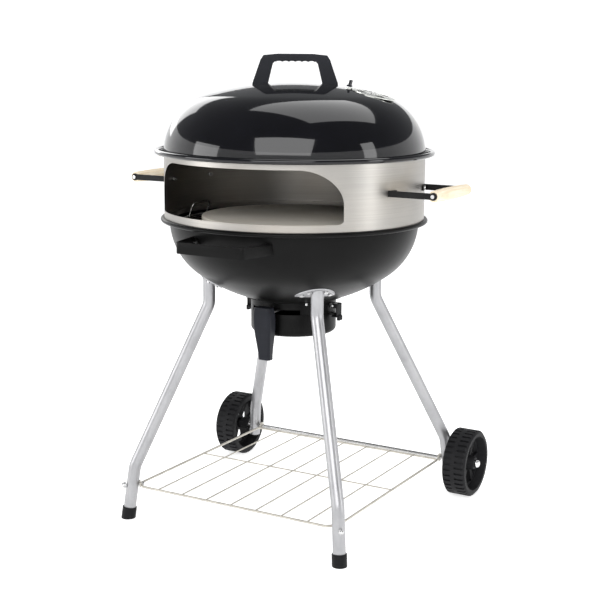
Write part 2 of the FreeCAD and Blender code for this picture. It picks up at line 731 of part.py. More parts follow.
def leg_path(front):
    """Corners of a leg's centre line in its own upright plane: (distance out, height)."""
    outside = D.leg_top_reach + D.leg_tube
    sphere_drop = root(bowl_dome.crown_radius * bowl_dome.crown_radius - outside * outside)
    top = (D.leg_top_reach, bowl_dome.centre - sphere_drop + 2)
    bend = (D.leg_top_reach, D.leg_upper_bend)
    if front:
        end = D.foot_cap_wall * 2
        return [top, bend, (D.front_knee_reach, D.front_knee_height), (D.front_foot_reach, end)]
    return [top, bend, (D.rear_knee_reach, D.rear_knee_height), (D.rear_foot_reach, D.rear_foot_height)]


def rounded_wire(points, radius, closed=False):
    """Straight runs joined by tangent arcs of one radius."""
    if closed:
        seam = (points[-1] + points[0]) * 0.5
        points = [seam] + points + [seam]
    edges = []
    start = points[0]
    for before, here, after in zip(points, points[1:], points[2:]):
        to_here = (here - before).normalize()
        onward = (after - here).normalize()
        half = to_here.getAngle(onward) / 2
        back = float(radius) * math.tan(half)
        first, last = here - to_here * back, here + onward * back
        inside = (onward - to_here).normalize()
        centre = here + inside * (float(radius) / math.cos(half))
        middle = centre - inside * float(radius)
        edges.append(Part.LineSegment(start, first).toShape())
        edges.append(Part.Arc(first, middle, last).toShape())
        start = last
    edges.append(Part.LineSegment(start, points[-1]).toShape())
    return Part.Wire(edges)


def swept_rod(name, path, radius):
    """A round rod along a path wire, from a circle at the wire's start."""
    guide = doc.addObject("Part::Feature", name + "_path")
    guide.Shape = path
    first = path.Edges[0]
    ring = doc.addObject("Part::Circle", name + "_ring")
    bind(ring, Radius=radius)
    ring.Placement = along(first.valueAt(first.FirstParameter), first.tangentAt(first.FirstParameter))
    rod = doc.addObject("Part::Sweep", name)
    rod.Sections = [ring]
    rod.Spine = (guide, [f"Edge{number + 1}" for number in range(len(path.Edges))])
    rod.Solid = True
    rod.Frenet = False
    return rod


def swept_tube(name, corners, radius, wall):
    """A round tube along a rounded path, in the leg's own plane."""
    path = rounded_wire([at(x, 0, z) for x, z in corners], D.leg_bend)
    return cut(name, swept_rod(name + "_outer", path, radius), swept_rod(name + "_inner", path, radius - wall))


def reach_on_leg(front, height):
    """How far out a leg's centre line is at a height below its knee."""
    knee, foot = leg_path(front)[2:]
    share = (float(knee[1]) - float(height)) / (float(knee[1]) - float(foot[1]))
    return float(knee[0]) + share * (float(foot[0]) - float(knee[0]))


def axle_place():
    """The axle's distance behind the bowl's axis, and its height."""
    return reach_on_leg(False, D.wheel_radius) * math.cos(math.radians(45)), float(D.wheel_radius)


def make_leg(name, angle, front):
    tube = swept_tube("tube_" + name, leg_path(front), D.leg_tube, D.leg_wall)
    head = sphere("head_" + name, bowl_dome.crown_radius + D.weld_gap * 2 + D.plate_wall, bowl_dome.centre)
    trimmed = cut("trimmed_" + name, tube, head)
    reach, height = (reach_on_leg(True, D.rack_height), D.rack_height) if front else (0, 0)
    if front:
        bore = drill("bore_" + name, at(reach, 0, height), Vector(1, 0, 0), D.bolt_radius + D.bolt_clearance, 60)
    else:
        back, height = axle_place()
        to_axle = turned(-angle).multVec(Vector(1, 0, 0))
        place = at(reach_on_leg(False, D.wheel_radius), 0, height)
        bore = drill("bore_" + name, place, to_axle, D.axle_radius + 0.1, 80)
    node(cut("bored_" + name, trimmed, bore), "leg_" + name, turned(angle))


def make_leg_plate(name, angle):
    """A half-moon plate dished to the bowl, welded to the leg's head."""
    film, thick = D.weld_gap, D.plate_wall
    shell = cut(
        "plate_shell_" + name,
        sphere("plate_outer_" + name, bowl_dome.crown_radius + film + thick, bowl_dome.centre),
        sphere("plate_inner_" + name, bowl_dome.crown_radius + film, bowl_dome.centre),
    )
    middle = D.leg_top_reach - D.plate_arc * 0.62
    chord = D.leg_top_reach - D.plate_arc * 0.44
    half = root(D.plate_arc * D.plate_arc - (chord - middle) * (chord - middle))
    moon = padded("plate_moon_" + name, [
        (chord, -half, 1, middle, 0, D.plate_arc),
        (chord, half),
    ], "XY_Plane", D.bowl_bottom / 2, D.bowl_bottom * 1.1)
    plate = common("plate_" + name, shell, moon)
    bores = []
    for number, (reach, aside) in enumerate(leg_bolt_places()):
        place, direction = bowl_dome.point_at(reach, aside), bowl_dome.normal_at(reach, aside)
        hole = D.bolt_radius + D.bolt_clearance
        bores.append(drill(f"plate_bore_{name}_{number}", place, direction, hole, 20))
    bored = cut("plate_bored_" + name, plate, fuse("plate_bores_" + name, bores))
    node(bored, "leg_plate_" + name, turned(angle))


def make_leg_fasteners():
    screws, nuts = [], []
    for name, x, y in leg_bolt_axes():
        direction = bowl_dome.normal_at(x, y) * -1
        seat = bowl_dome.point_at(x, y, float(D.weld_gap) + float(D.plate_wall) + 0.05)
        screws.append(bolt("leg_screw_" + name, seat, direction, 9.5))
        inside = bowl_dome.point_at(x, y, -float(D.sheet_wall) - 0.2)
        nuts.append(nut("leg_nut_" + name, inside, direction))
    group("leg_screws", screws)
    group("leg_nuts", nuts)


def make_foot_cap(name, angle):
    """A plastic cup on the end of a front leg, flat on the ground."""
    knee, foot = leg_path(True)[2:]
    rise = at(knee[0], 0, knee[1]) - at(foot[0], 0, foot[1])
    upward = rise.normalize()
    ground = at(foot[0], 0, foot[1]) - upward * (float(foot[1]) / upward.z)
    outer = D.leg_tube + D.foot_cap_wall
    below = ground - upward * 10
    cup = cylinder("cap_" + name, outer, D.foot_cap_height + 10, along(below, upward))
    floor = box("cap_floor_" + name, (D.front_foot_reach - 40, -40, -40), 80, 80, 40)
    flat = cut("cap_flat_" + name, cup, floor)
    bore = cylinder("cap_bore_" + name, D.leg_tube + D.weld_gap, D.foot_cap_height * 2,
                    along(at(foot[0], 0, foot[1]), Vector(0, 0, 1)))
    bore.Placement = along(at(foot[0], 0, foot[1]) - upward * float(D.foot_cap_wall) * 0.2, upward)
    keep = box("cap_keep_" + name, (D.front_foot_reach - 40, -40, D.foot_cap_wall - 0.05), 80, 80, 60)
    hollow = common("cap_hollow_" + name, bore, keep)
    node(cut("cap_cup_" + name, flat, hollow), "foot_cap_" + name, turned(angle))


def make_leg_plugs():
    """Plastic plugs in the open lower ends of the rear legs."""
    knee, foot = leg_path(False)[2:]
    upward = (at(knee[0], 0, knee[1]) - at(foot[0], 0, foot[1])).normalize()
    plugs = []
    for name in ("rear_left", "rear_right"):
        end = at(foot[0], 0, foot[1])
        stem = cylinder("plug_stem_" + name, D.leg_tube - D.leg_wall - D.weld_gap, 8, along(end, upward))
        cap = cylinder("plug_cap_" + name, D.leg_tube, 2.5, along(end - upward * 2.6, upward))
        joint = cylinder("plug_neck_" + name, D.leg_tube - D.leg_wall - D.weld_gap, 1,
                         along(end - upward * 0.5, upward))
        plug = fuse("plug_" + name, [stem, cap, joint])
        plug.Placement = turned(DIAGONALS[name])
        plugs.append(plug)
    group("leg_plugs", plugs)


# ---- wheels and axle -----------------------------------------------------------------------

def wheel_inner_face():
    back, _ = axle_place()
    return Size(back, repr(back)) + D.leg_tube + D.wheel_side_gap


def make_wheel(name, way):
    """A moulded wheel, drawn about its own axle along X and set on the axle."""
    radius, width = D.wheel_radius, D.wheel_width
    hub, bore = D.axle_radius * 3.2, D.axle_radius + D.axle_clearance
    rim, web, recess = radius * 0.80, width * 0.14, width * 0.34
    body = new_body("wheel_body_" + name)
    drawing = new_sketch(body, "wheel_profile_" + name, "XZ_Plane")
    outline(drawing, [
        (0.4, bore), (0.4, hub), (width * 0.52, hub), (width * 0.52, rim), (1.5, rim),
        (1.5, radius - 5), (5, radius), (width - 5, radius), (width, radius - 6), (width, rim + 1),
        (width - recess, rim - 4), (width - recess, hub + 5), (width - 3, hub), (width - 3, bore),
    ])
    turn = body.newObject("PartDesign::Revolution", "wheel_turn_" + name)
    turn.Profile = drawing
    turn.ReferenceAxis = (drawing, ["H_Axis"])
    turn.Angle = 360
    doc.recompute()
    window = new_sketch(body, "wheel_window_" + name, "YZ_Plane", width * 0.3)
    low, high, half = hub + 6, rim - 7, 21.0
    outline(window, [
        (-low * sine(half), low * cosine(half)),
        (low * sine(half), low * cosine(half)),
        (high * sine(half), high * cosine(half)),
        (-high * sine(half), high * cosine(half)),
    ])
    opening = body.newObject("PartDesign::Pocket", "wheel_opening_" + name)
    opening.Profile = window
    opening.Type = "Length"
    opening.Reversed = True
    bind(opening, Length=width)
    openings = body.newObject("PartDesign::PolarPattern", "wheel_openings_" + name)
    openings.Originals = [opening]
    openings.Axis = (window, ["N_Axis"])
    openings.Angle = 360
    openings.Occurrences = 6
    body.Tip = openings
    doc.recompute()
    grooves = []
    pitch = 360.0 / float(D.tread_count)
    for row, (start, length) in enumerate(((-1, 0.42), (0.58, 0.46))):
        for number in range(int(float(D.tread_count))):
            frame = turned(pitch * (number + 0.5 * row), Vector(1, 0, 0))
            low = (width * start if row else -1, -2.2, radius - D.tread_depth)
            grooves.append(box(f"groove_{name}_{row}_{number}", low, width * length, 4.4, 20, frame))
    treaded = cut("treaded_" + name, body, fuse("tread_" + name, grooves))
    back, height = axle_place()
    flip = Rotation(Vector(0, 0, 1), 0 if way > 0 else 180)
    base = at(float(wheel_inner_face()) * way, back, height)
    node(treaded, "wheel_" + name, Placement(base, flip))


def make_axle():
    back, height = axle_place()
    end = wheel_inner_face() + D.wheel_width + 6
    rod = cylinder("axle_rod", D.axle_radius, end * 2,
                   along(at(-float(end), back, height), Vector(1, 0, 0)))
    node(rod, "axle")
    washers = []
    for side, way in SIDES.items():
        outward = Vector(way, 0, 0)
        inner = float(wheel_inner_face()) - 0.8
        outer = float(wheel_inner_face()) + float(D.wheel_width) - 3 + 0.4
        for place, start in (("inner", inner), ("outer", outer)):
            base = at(start * way, back, height)
            disc = cylinder(f"washer_{side}_{place}", D.axle_radius * 2, 1.0, along(base, outward))
            hole = drill(f"washer_hole_{side}_{place}", base, outward, D.axle_radius + 0.1, 10)
            washers.append(cut(f"washer_{side}_{place}_cut", disc, hole))
        face = outer + 1.4
        dome = ball(f"cap_ball_{side}", D.axle_radius * 2.4, at(face * way, back, height))
        half = cylinder(f"cap_keep_{side}", D.axle_radius * 2.2, D.axle_radius * 2.2,
                        along(at(face * way, back, height), outward))
        cap = common(f"cap_dome_{side}", dome, half)
        bore = cylinder(f"cap_bore_{side}", D.axle_radius + 0.05, float(end) - face + 0.2,
                        along(at((face - 0.1) * way, back, height), outward))
        node(cut(f"cap_hollow_{side}", cap, bore), f"hub_cap_{side}")
    group("axle_washers", washers)


# ---- wire rack -----------------------------------------------------------------------------

def rack_back():
    """The rack's rear wire stands just ahead of the axle."""
    back, _ = axle_place()
    return Size(back, repr(back)) - D.axle_radius * 3


def rod_between(name, radius, start, end):
    direction = end - start
    return cylinder(name, radius, direction.Length, along(start, direction))


def make_rack():
    """A frame wire with cut front corners, inner wires, eyes on the axle and tabs at the front."""
    wire, z = D.rack_wire, float(D.rack_height)
    rear = float(rack_back())
    back, axle_height = axle_place()
    leg = reach_on_leg(True, D.rack_height)
    half = back - float(D.leg_tube) - float(D.rack_leg_gap)
    front = leg * math.cos(math.radians(45)) + float(D.rack_overhang)
    tab_space, tab_wall, tab_radius = 1.8, 2.0, 8.0
    clear = float(D.leg_tube) + tab_space + tab_wall + float(wire) - 0.6
    chamfer = half + front - (leg - clear) * math.sqrt(2)
    corners = [
        at(-half, rear, z), at(-half, -front + chamfer, z), at(-half + chamfer, -front, z),
        at(half - chamfer, -front, z), at(half, -front + chamfer, z), at(half, rear, z),
    ]
    bend = 9.0
    pieces = [swept_rod("rack_frame", rounded_wire(corners, bend, closed=True), wire)]
    count = int(float(D.rack_rods))
    above = z + float(wire) * 0.5
    for number in range(count):
        x = half * (2 * (number + 1) / (count + 1) - 1)
        start, end = at(x, -front - 1, above), at(x, rear + 1, above)
        pieces.append(rod_between(f"rack_rod_{number}", D.rack_rod, start, end))
    middle = 0.03 * front
    across = z - float(D.rack_rod) * 0.4
    pieces.append(rod_between("rack_cross", D.rack_rod, at(-half, middle, across), at(half, middle, across)))
    holes = []
    for side, way in SIDES.items():
        eye_x = (half - 1.5) * way
        eye = cylinder(f"rack_eye_{side}", D.axle_radius * 2.2, 3,
                       along(at(eye_x - 1.5, back, axle_height), Vector(1, 0, 0)))
        link = rod_between(f"rack_link_{side}", 1.6, at(eye_x, rear, z), at(eye_x, back - 5, axle_height))
        pieces += [eye, link]
        holes.append(drill(f"rack_eye_hole_{side}", at(eye_x, back, axle_height), Vector(1, 0, 0),
                           D.axle_radius + 0.15, 30))
    for name in ("front_left", "front_right"):
        outward = polar(1, DIAGONALS[name])
        tab_back = outward * (leg - float(D.leg_tube) - tab_space - tab_wall) + at(0, 0, z)
        pieces.append(cylinder("rack_tab_" + name, tab_radius, tab_wall, along(tab_back, outward)))
        holes.append(drill("rack_tab_hole_" + name, tab_back, outward, D.bolt_radius + D.bolt_clearance, 24))
    node(cut("rack_bored", fuse("rack_joined", pieces), fuse("rack_holes", holes)), "bottom_rack")
    bolts, nuts = [], []
    for name in ("front_left", "front_right"):
        outward = polar(1, DIAGONALS[name])
        inner = outward * (leg - clear - float(wire) - 0.9) + at(0, 0, z)
        length = clear + float(wire) + float(D.leg_tube) + 6.5
        bolts.append(bolt("rack_bolt_" + name, inner, outward, length))
        seat = outward * (leg + float(D.leg_tube) + tab_space) + at(0, 0, z)
        nuts.append(cap_nut("rack_nut_" + name, seat, outward))
    group("rack_bolts", bolts)
    group("rack_cap_nuts", nuts)


def cap_nut(name, seat, direction):
    """A domed nut over a bolt's end."""
    skirt = hexagon(name + "_hex", D.bolt_radius * 2.0, 5.0, along(seat, direction))
    dome = ball(name + "_ball", D.bolt_radius * 1.9, seat + direction * 5.0)
    bore = cylinder(name + "_bore", D.bolt_radius + 0.05, 7.2, along(seat - direction * 0.2, direction))
    return cut(name, fuse(name + "_joined", [skirt, dome]), bore)


# ---- grates, stone and ash sweeper ---------------------------------------------------------

def make_grate(name, radius, height, pitch, with_handles):
    """A round wire grate: a rim wire, parallel bars on top and two cross bars below."""
    ring = radius - D.grate_wire
    pieces = [torus(name + "_rim", ring, D.grate_wire, height)]
    bars = int(float(ring) / float(pitch))
    level = float(height) + float(D.bar_lift)
    for number in range(-bars, bars + 1):
        if abs(number) * float(pitch) > float(ring) - float(pitch) / 2:
            continue
        aside = number * float(pitch)
        half = math.sqrt(float(ring) ** 2 - aside * aside) - float(D.grate_wire) * 0.4
        start, end = at(aside, -half, level), at(aside, half, level)
        pieces.append(rod_between(f"{name}_bar_{number + bars}", D.grate_rod, start, end))
    for number, share in enumerate((-0.45, 0.45)):
        aside = share * float(ring)
        half = math.sqrt(float(ring) ** 2 - aside * aside)
        low = float(height) - float(D.grate_wire) * 0.35
        start, end = at(-half, aside, low), at(half, aside, low)
        pieces.append(rod_between(f"{name}_cross_{number}", D.grate_wire * 0.85, start, end))
    if with_handles:
        for side, way in SIDES.items():
            pieces.append(grate_handle(f"{name}_{side}", float(ring), float(height), way))
    node(fuse(name + "_welded", pieces), name)


def grate_handle(name, ring, height, way):
    """A raised wire loop at one side of the cooking grate."""
    half, rise, lean = 34.0, 30.0, 10.0
    base = math.sqrt(ring * ring - half * half)
    low = [at(way * base, side * half, height) for side in (-1, 1)]
    high = [at(way * (base - lean), side * half * 0.9, height + rise) for side in (-1, 1)]
    path = rounded_wire([low[0], high[0], high[1], low[1]], 8.0)
    return swept_rod(name, path, D.grate_rod * 1.2)


def make_stone():
    base = D.grate_height + D.bar_lift + D.grate_rod + D.seat_gap
    disc = new_body("stone_disc")
    drawing = new_sketch(disc, "stone_round", "XY_Plane", base)
    circle_in(drawing, 0, 0, D.stone_radius)
    pad = disc.newObject("PartDesign::Pad", "stone_pad")
    pad.Profile = drawing
    bind(pad, Length=D.stone_thickness)
    disc.Tip = pad
    doc.recompute()
    edge = disc.newObject("PartDesign::Fillet", "stone_edge")
    edge.Base = (pad, ["Edge1", "Edge3"])
    edge.Radius = 2.5
    disc.Tip = edge
    node(disc, "pizza_stone")


def blade_slices(name, inner, outer, reach, half_angle, turn):
    """One blade: a sector of a thin shell dished like the bowl's bottom."""
    shell = cut(
        name + "_shell",
        sphere(name + "_outer", bowl_dome.crown_radius - inner, bowl_dome.centre),
        sphere(name + "_inner", bowl_dome.crown_radius - outer, bowl_dome.centre),
    )
    sector = padded(name + "_sector", [
        (0, 0),
        (reach * cosine(half_angle), -reach * sine(half_angle), 1, 0, 0, reach),
        (reach * cosine(half_angle), reach * sine(half_angle)),
    ], "XY_Plane", D.bowl_bottom, D.bowl_bottom)
    blade = common(name, shell, sector)
    blade.Placement = turned(turn)
    return blade


def make_sweeper():
    """Three blades on a shaft through the bowl's bottom, turned by a hanging lever."""
    near, thick = D.sheet_wall + D.seat_gap, Size(1.5, "1.5")
    blades = [
        blade_slices(f"blade_{i}", near, near + thick, D.blade_reach, D.blade_half_angle, 90 + 120 * i)
        for i in range(3)
    ]
    base = D.bowl_bottom + D.sheet_wall + D.seat_gap
    boss_radius, boss_height = float(D.shaft_radius) + 9, 7.0
    boss = upright("sweeper_boss", boss_radius, boss_height, z=base + 0.6)
    hole = upright("sweeper_hole", D.shaft_radius + 0.02, 60, z=D.bowl_bottom - 20)
    cross = at(0, 0, float(base) + 4)
    pin_radius, level = 1.5, Vector(1, 0, 0)
    pin_hole = drill("sweeper_pin_hole", cross, level, pin_radius + 0.05, 60)
    joined = fuse("sweeper_joined", blades + [boss])
    node(cut("sweeper_bored", joined, fuse("sweeper_holes", [hole, pin_hole])), "ash_sweeper")
    low = D.lever_height - 4
    stem = upright("shaft_stem", D.shaft_radius, base + boss_height + 0.6 - low, z=low)
    shaft_hole = drill("shaft_pin_hole", cross, level, pin_radius + 0.05, 60)
    node(cut("shaft_bored", stem, shaft_hole), "sweeper_shaft")
    node(drill("sweeper_bolt_pin", cross, level, pin_radius, boss_radius * 2 - 1), "sweeper_pin")
    make_lever()


def make_lever():
    """The flat arm under the bowl and the plastic grip that hangs from its end."""
    width, thick, z = 20.0, D.lever_thickness, D.lever_height
    bar = box("lever_bar", (-width / 2, -D.lever_reach, z), width, D.lever_reach, thick)
    eye = upright("lever_eye", D.shaft_radius + 8, thick, z=z)
    hole = upright("lever_hole", D.shaft_radius + 0.02, 40, z=z - 20)
    node(cut("lever_bored", fuse("lever_joined", [bar, eye]), hole), "lever_arm")
    grip = new_body("lever_grip_body")
    top = D.lever_height + 15
    drop, sway = top - D.lever_drop, 7.0
    levels = ((0.0, 18.0, 11.0), (0.30, 20.0, 14.0), (0.62, 17.0, 12.0), (1.0, 13.5, 9.0))
    sections = []
    for number, (share, half, deep) in enumerate(levels):
        drawing = new_sketch(grip, f"lever_section_{number}", "XY_Plane", top - drop * share)
        middle = -D.lever_reach + sway * share
        curve = 5.0
        outline(drawing, [
            (-half + curve, middle - deep), (half - curve, middle - deep, 1, half - curve, middle - deep + curve, curve),
            (half, middle - deep + curve), (half, middle + deep - curve, 1, half - curve, middle + deep - curve, curve),
            (half - curve, middle + deep), (-half + curve, middle + deep, 1, -half + curve, middle + deep - curve, curve),
            (-half, middle + deep - curve), (-half, middle - deep + curve, 1, -half + curve, middle - deep + curve, curve),
        ])
        sections.append(drawing)
    loft = grip.newObject("PartDesign::AdditiveLoft", "lever_loft")
    loft.Profile = sections[0]
    loft.Sections = sections[1:]
    loft.Ruled = False
    grip.Tip = loft
    slot = box("grip_slot", (-width / 2 - 0.1, -D.lever_reach - 0.1, z - 0.1), width + 0.2, D.lever_reach, thick + 0.2)
    node(cut("grip_slotted", grip, slot), "lever_grip")


# ---- ash pot -------------------------------------------------------------------------------

def collar_bolt_places():
    """The collar's screws are outside the blades' reach, in the flange."""
    reach = float(D.pot_radius) + 9.5
    return [(p.x, p.y) for p in (polar(reach, angle) for angle in DIAGONALS.values())]


def make_collar():
    """A short tube under the bowl that carries the ash pot, open at the front for the lever."""
    wall, film = D.sheet_wall, D.weld_gap
    tube = cut(
        "collar_tube",
        upright("collar_outer", D.pot_radius, 60, z=D.pot_top + D.seat_gap),
        upright("collar_inner", D.pot_radius - wall, 80, z=D.pot_top - 5),
    )
    body = cut("collar_top", tube, sphere("collar_trim", bowl_dome.crown_radius + film, bowl_dome.centre))
    shell = cut(
        "collar_shell",
        sphere("collar_shell_outer", bowl_dome.crown_radius + film + wall, bowl_dome.centre),
        sphere("collar_shell_inner", bowl_dome.crown_radius + film, bowl_dome.centre),
    )
    band = cut(
        "collar_band",
        upright("collar_band_outer", D.pot_radius + 16, 200, z=D.bowl_bottom - 80),
        upright("collar_band_inner", D.pot_radius - wall, 240, z=D.bowl_bottom - 100),
    )
    flange = common("collar_flange", shell, band)
    joined = fuse("collar_joined", [body, flange])
    half = D.lever_swing + 9
    slot = padded("collar_slot", [
        (0, 0),
        (D.pot_radius * 2 * -sine(half), -D.pot_radius * 2 * cosine(half)),
        (D.pot_radius * 2 * sine(half), -D.pot_radius * 2 * cosine(half)),
    ], "XY_Plane", D.lever_thickness + 14, D.lever_height + D.lever_thickness / 2 - 4)
    holes = []
    for number, (x, y) in enumerate(collar_bolt_places()):
        holes.append(drill(f"collar_bore_{number}", bowl_dome.point_at(x, y), bowl_dome.normal_at(x, y),
                           D.bolt_radius + D.bolt_clearance, 12))
    node(cut("collar_bored", joined, fuse("collar_cuts", [slot] + holes)), "pot_collar")
    screws = []
    for number, (x, y) in enumerate(collar_bolt_places()):
        direction = bowl_dome.normal_at(x, y)
        seat = bowl_dome.point_at(x, y, -float(D.sheet_wall) - 0.1)
        screws.append(bolt(f"collar_screw_{number}", seat, direction, 7.0))
    group("collar_screws", screws)


def make_pot():
    wall, radius, corner = D.sheet_wall, D.pot_radius, D.pot_corner
    low, top = D.pot_bottom, D.pot_top
    cup = revolved("pot_cup", [
        (0, low), (radius - corner, low, 1, radius - corner, low + corner, corner),
        (radius, low + corner), (radius, top), (radius - wall, top),
        (radius - wall, low + corner, -1, radius - corner, low + corner, corner - wall),
        (radius - corner, low + wall), (0, low + wall),
    ])
    lugs = []
    for side, way in SIDES.items():
        reach = latch_x() - float(radius) + 3.0
        lugs.append(box(f"pot_lug_{side}", ((radius - 0.6) if way > 0 else (-radius + 0.6 - reach), -7, lug_base()),
                        reach, 14, 4.5))
    node(fuse("pot_welded", [cup] + lugs), "ash_pot")


def latch_x():
    """Distance of the latch's pin from the axis."""
    return float(D.pot_radius) + 10.0


def latch_z():
    return float(D.pot_top) + 14.5


def lug_base():
    return float(D.pot_top) - 6.0


def make_latches():
    """A hinged hook on each side that holds the pot up by its lug."""
    brackets, pins = [], []
    for side, way in SIDES.items():
        pivot = at(latch_x() * way, 0, latch_z())
        across = Vector(0, 1, 0)
        block = box(f"bracket_{side}", ((D.pot_radius + 0.1) if way > 0 else (-D.pot_radius - 0.1 - 14), -6,
                                        latch_z() - 5), 14, 12, 10)
        hole = drill(f"bracket_hole_{side}", pivot, across, D.latch_pin + 0.05, 30)
        roof = sphere(f"bracket_trim_{side}", bowl_dome.crown_radius + D.weld_gap * 2 + D.sheet_wall, bowl_dome.centre)
        brackets.append(cut(f"bracket_bored_{side}", block, fuse(f"bracket_cuts_{side}", [hole, roof])))
        pins.append(cylinder(f"pin_{side}", D.latch_pin, 24, along(pivot - across * 12, across)))
        low = lug_base() - 3.3
        plate_x = latch_x() + 7.5
        lows = {1: plate_x, -1: -plate_x - 2.5}
        plate = box(f"latch_plate_{side}", (lows[way], -10.5, low), 2.5, 21, latch_z() + 4.5 - low)
        lip_low = {1: latch_x() - 3.5, -1: -latch_x() + 3.5 - 13.5}
        lip = box(f"latch_lip_{side}", (lip_low[way], -10.5, low), 13.5, 21, 3.0)
        cheeks = []
        for number, y in enumerate((-10.5, 6.4)):
            cheek_low = {1: latch_x() - 4.5, -1: -latch_x() + 4.5 - 14.5}
            cheeks.append(box(f"latch_cheek_{side}_{number}", (cheek_low[way], y, latch_z() - 5), 14.5, 4.1, 9.5))
        thumb_low = {1: plate_x + 1, -1: -plate_x - 1 - 5}
        thumb = box(f"latch_thumb_{side}", (thumb_low[way], -8, low - 7), 5, 16, 10)
        joined = fuse(f"latch_joined_{side}", [plate, lip, thumb] + cheeks)
        bore = drill(f"latch_bore_{side}", pivot, across, D.latch_pin + 0.05, 40)
        node(cut(f"latch_bored_{side}", joined, bore), f"pot_latch_{side}")
    group("latch_brackets", brackets)
    group("latch_pins", pins)


# ---- pizza ring ----------------------------------------------------------------------------

def make_ring():
    outer, wall = D.ring_radius, D.ring_wall
    base, top = D.bowl_rim_height + D.seat_gap, ring_top
    skirt = D.bowl_radius - D.sheet_wall - 1.5
    shell = revolved("ring_shell", [
        (outer, base), (outer, top), (outer - wall * 2, top), (outer - wall * 2, top - 4),
        (outer - wall, top - 4), (outer - wall, base + wall), (skirt - wall, base + wall),
        (skirt - wall, base - D.ring_skirt), (skirt, base - D.ring_skirt), (skirt, base),
    ])
    mouth = mouth_cutter()
    holes = [mouth]
    for name, place, inward in arm_bolt_axes():
        holes.append(drill("arm_hole_" + name, place, inward, D.bolt_radius + D.bolt_clearance, 20))
    node(cut("ring_cut", shell, fuse("ring_cuts", holes)), "pizza_ring")


def mouth_cutter():
    """The mouth's outline, cut straight back through the front wall only."""
    sill = D.bowl_rim_height + D.seat_gap + D.mouth_sill
    top = sill + D.mouth_height
    half = D.ring_radius * sine(D.mouth_half_angle)
    big, small = D.mouth_corner, D.mouth_low_corner
    body = new_body("ring_mouth")
    drawing = new_sketch(body, "mouth_outline", "XZ_Plane")
    outline(drawing, [
        (-half + small, sill),
        (half - small, sill, 1, half - small, sill + small, small),
        (half, sill + small),
        (half, top - big, 1, half - big, top - big, big),
        (half - big, top),
        (-half + big, top, 1, -half + big, top - big, big),
        (-half, top - big),
        (-half, sill + small, 1, -half + small, sill + small, small),
    ])
    pad = body.newObject("PartDesign::Pad", "mouth_cut")
    pad.Profile = drawing
    bind(pad, Length=D.ring_radius * 1.2)
    body.Tip = pad
    return body


def arm_bolt_axes():
    """Screws that hold the ring handles: place on the ring's wall and inward direction."""
    z = float(D.bowl_rim_height) + float(D.arm_height)
    offset = float(D.arm_spread) - 10.0
    reach = float(D.ring_radius)
    for side, way in SIDES.items():
        for end, fore in (("front", -1), ("rear", 1)):
            turn = math.asin(offset / reach)
            outward = at(way * math.cos(turn), fore * math.sin(turn))
            yield f"{side}_{end}", outward * reach + at(0, 0, z), outward * -1


def make_arm(name, way, fore):
    """A flat bar with an eye at its outer end and a tab curved to the ring."""
    z = D.bowl_rim_height + D.arm_height
    thick, tall, spread = D.arm_thickness, D.arm_bar, D.arm_spread
    film = D.weld_gap
    start = root(D.ring_radius * D.ring_radius - spread * spread)
    length = D.arm_reach - start
    low_y = spread if fore > 0 else -spread - thick
    low_x = start if way > 0 else -D.arm_reach
    bar = box("arm_bar_" + name, (low_x, low_y, z - tall / 2), length, thick, tall)
    eye = cylinder("arm_eye_" + name, tall * 0.62, thick,
                   along(at(float(D.arm_reach) * way, low_y, z), Vector(0, 1, 0)))
    shell = cut(
        "arm_shell_" + name,
        upright("arm_outer_" + name, D.ring_radius + film + thick, tall, z=z - tall / 2),
        upright("arm_inner_" + name, D.ring_radius + film, tall * 2, z=z - tall),
    )
    tab_y = spread - 18 if fore > 0 else -spread - thick
    reach_x = D.ring_radius * 0.9 if way > 0 else -D.ring_radius - 8
    zone = box("arm_zone_" + name, (reach_x, tab_y, z - tall), D.ring_radius * 0.1 + 8, 18 + thick, tall * 2)
    tab = common("arm_tab_" + name, shell, zone)
    joined = fuse("arm_joined_" + name, [bar, eye, tab])
    ring_space = upright("arm_clear_" + name, D.ring_radius + film, tall * 2, z=z - tall)
    trimmed = cut("arm_trimmed_" + name, joined, ring_space)
    place = dict((key, (spot, inward)) for key, spot, inward in arm_bolt_axes())[name]
    hole = D.bolt_radius + D.bolt_clearance
    bores = [
        drill("arm_bore_" + name, place[0], place[1], hole, 24),
        drill("arm_eye_bore_" + name, at(float(D.arm_reach) * way, low_y, z), Vector(0, 1, 0), hole, 24),
    ]
    node(cut("arm_bored_" + name, trimmed, fuse("arm_bores_" + name, bores)), "ring_arm_" + name)


def make_ring_handles():
    z = float(D.bowl_rim_height) + float(D.arm_height)
    screws, nuts, grip_screws = [], [], []
    for name, place, inward in arm_bolt_axes():
        seat = place - inward * (float(D.weld_gap) + float(D.arm_thickness) + 0.1)
        screws.append(bolt("arm_screw_" + name, seat, inward, 13.0))
        nuts.append(nut("arm_nut_" + name, place + inward * (float(D.ring_wall) + 0.3), inward))
    for side, way in SIDES.items():
        for end, fore in (("front", -1), ("rear", 1)):
            make_arm(f"{side}_{end}", way, fore)
            outer = fore * (float(D.arm_spread) + float(D.arm_thickness) + 0.1)
            base = at(float(D.arm_reach) * way, outer, z)
            grip_screws.append(bolt(f"grip_screw_{side}_{end}", base, Vector(0, -fore, 0), 16.0, 3.8, 3.0))
        make_grip(side, way, z)
    group("ring_arm_screws", screws)
    group("ring_arm_nuts", nuts)
    group("grip_screws", grip_screws)


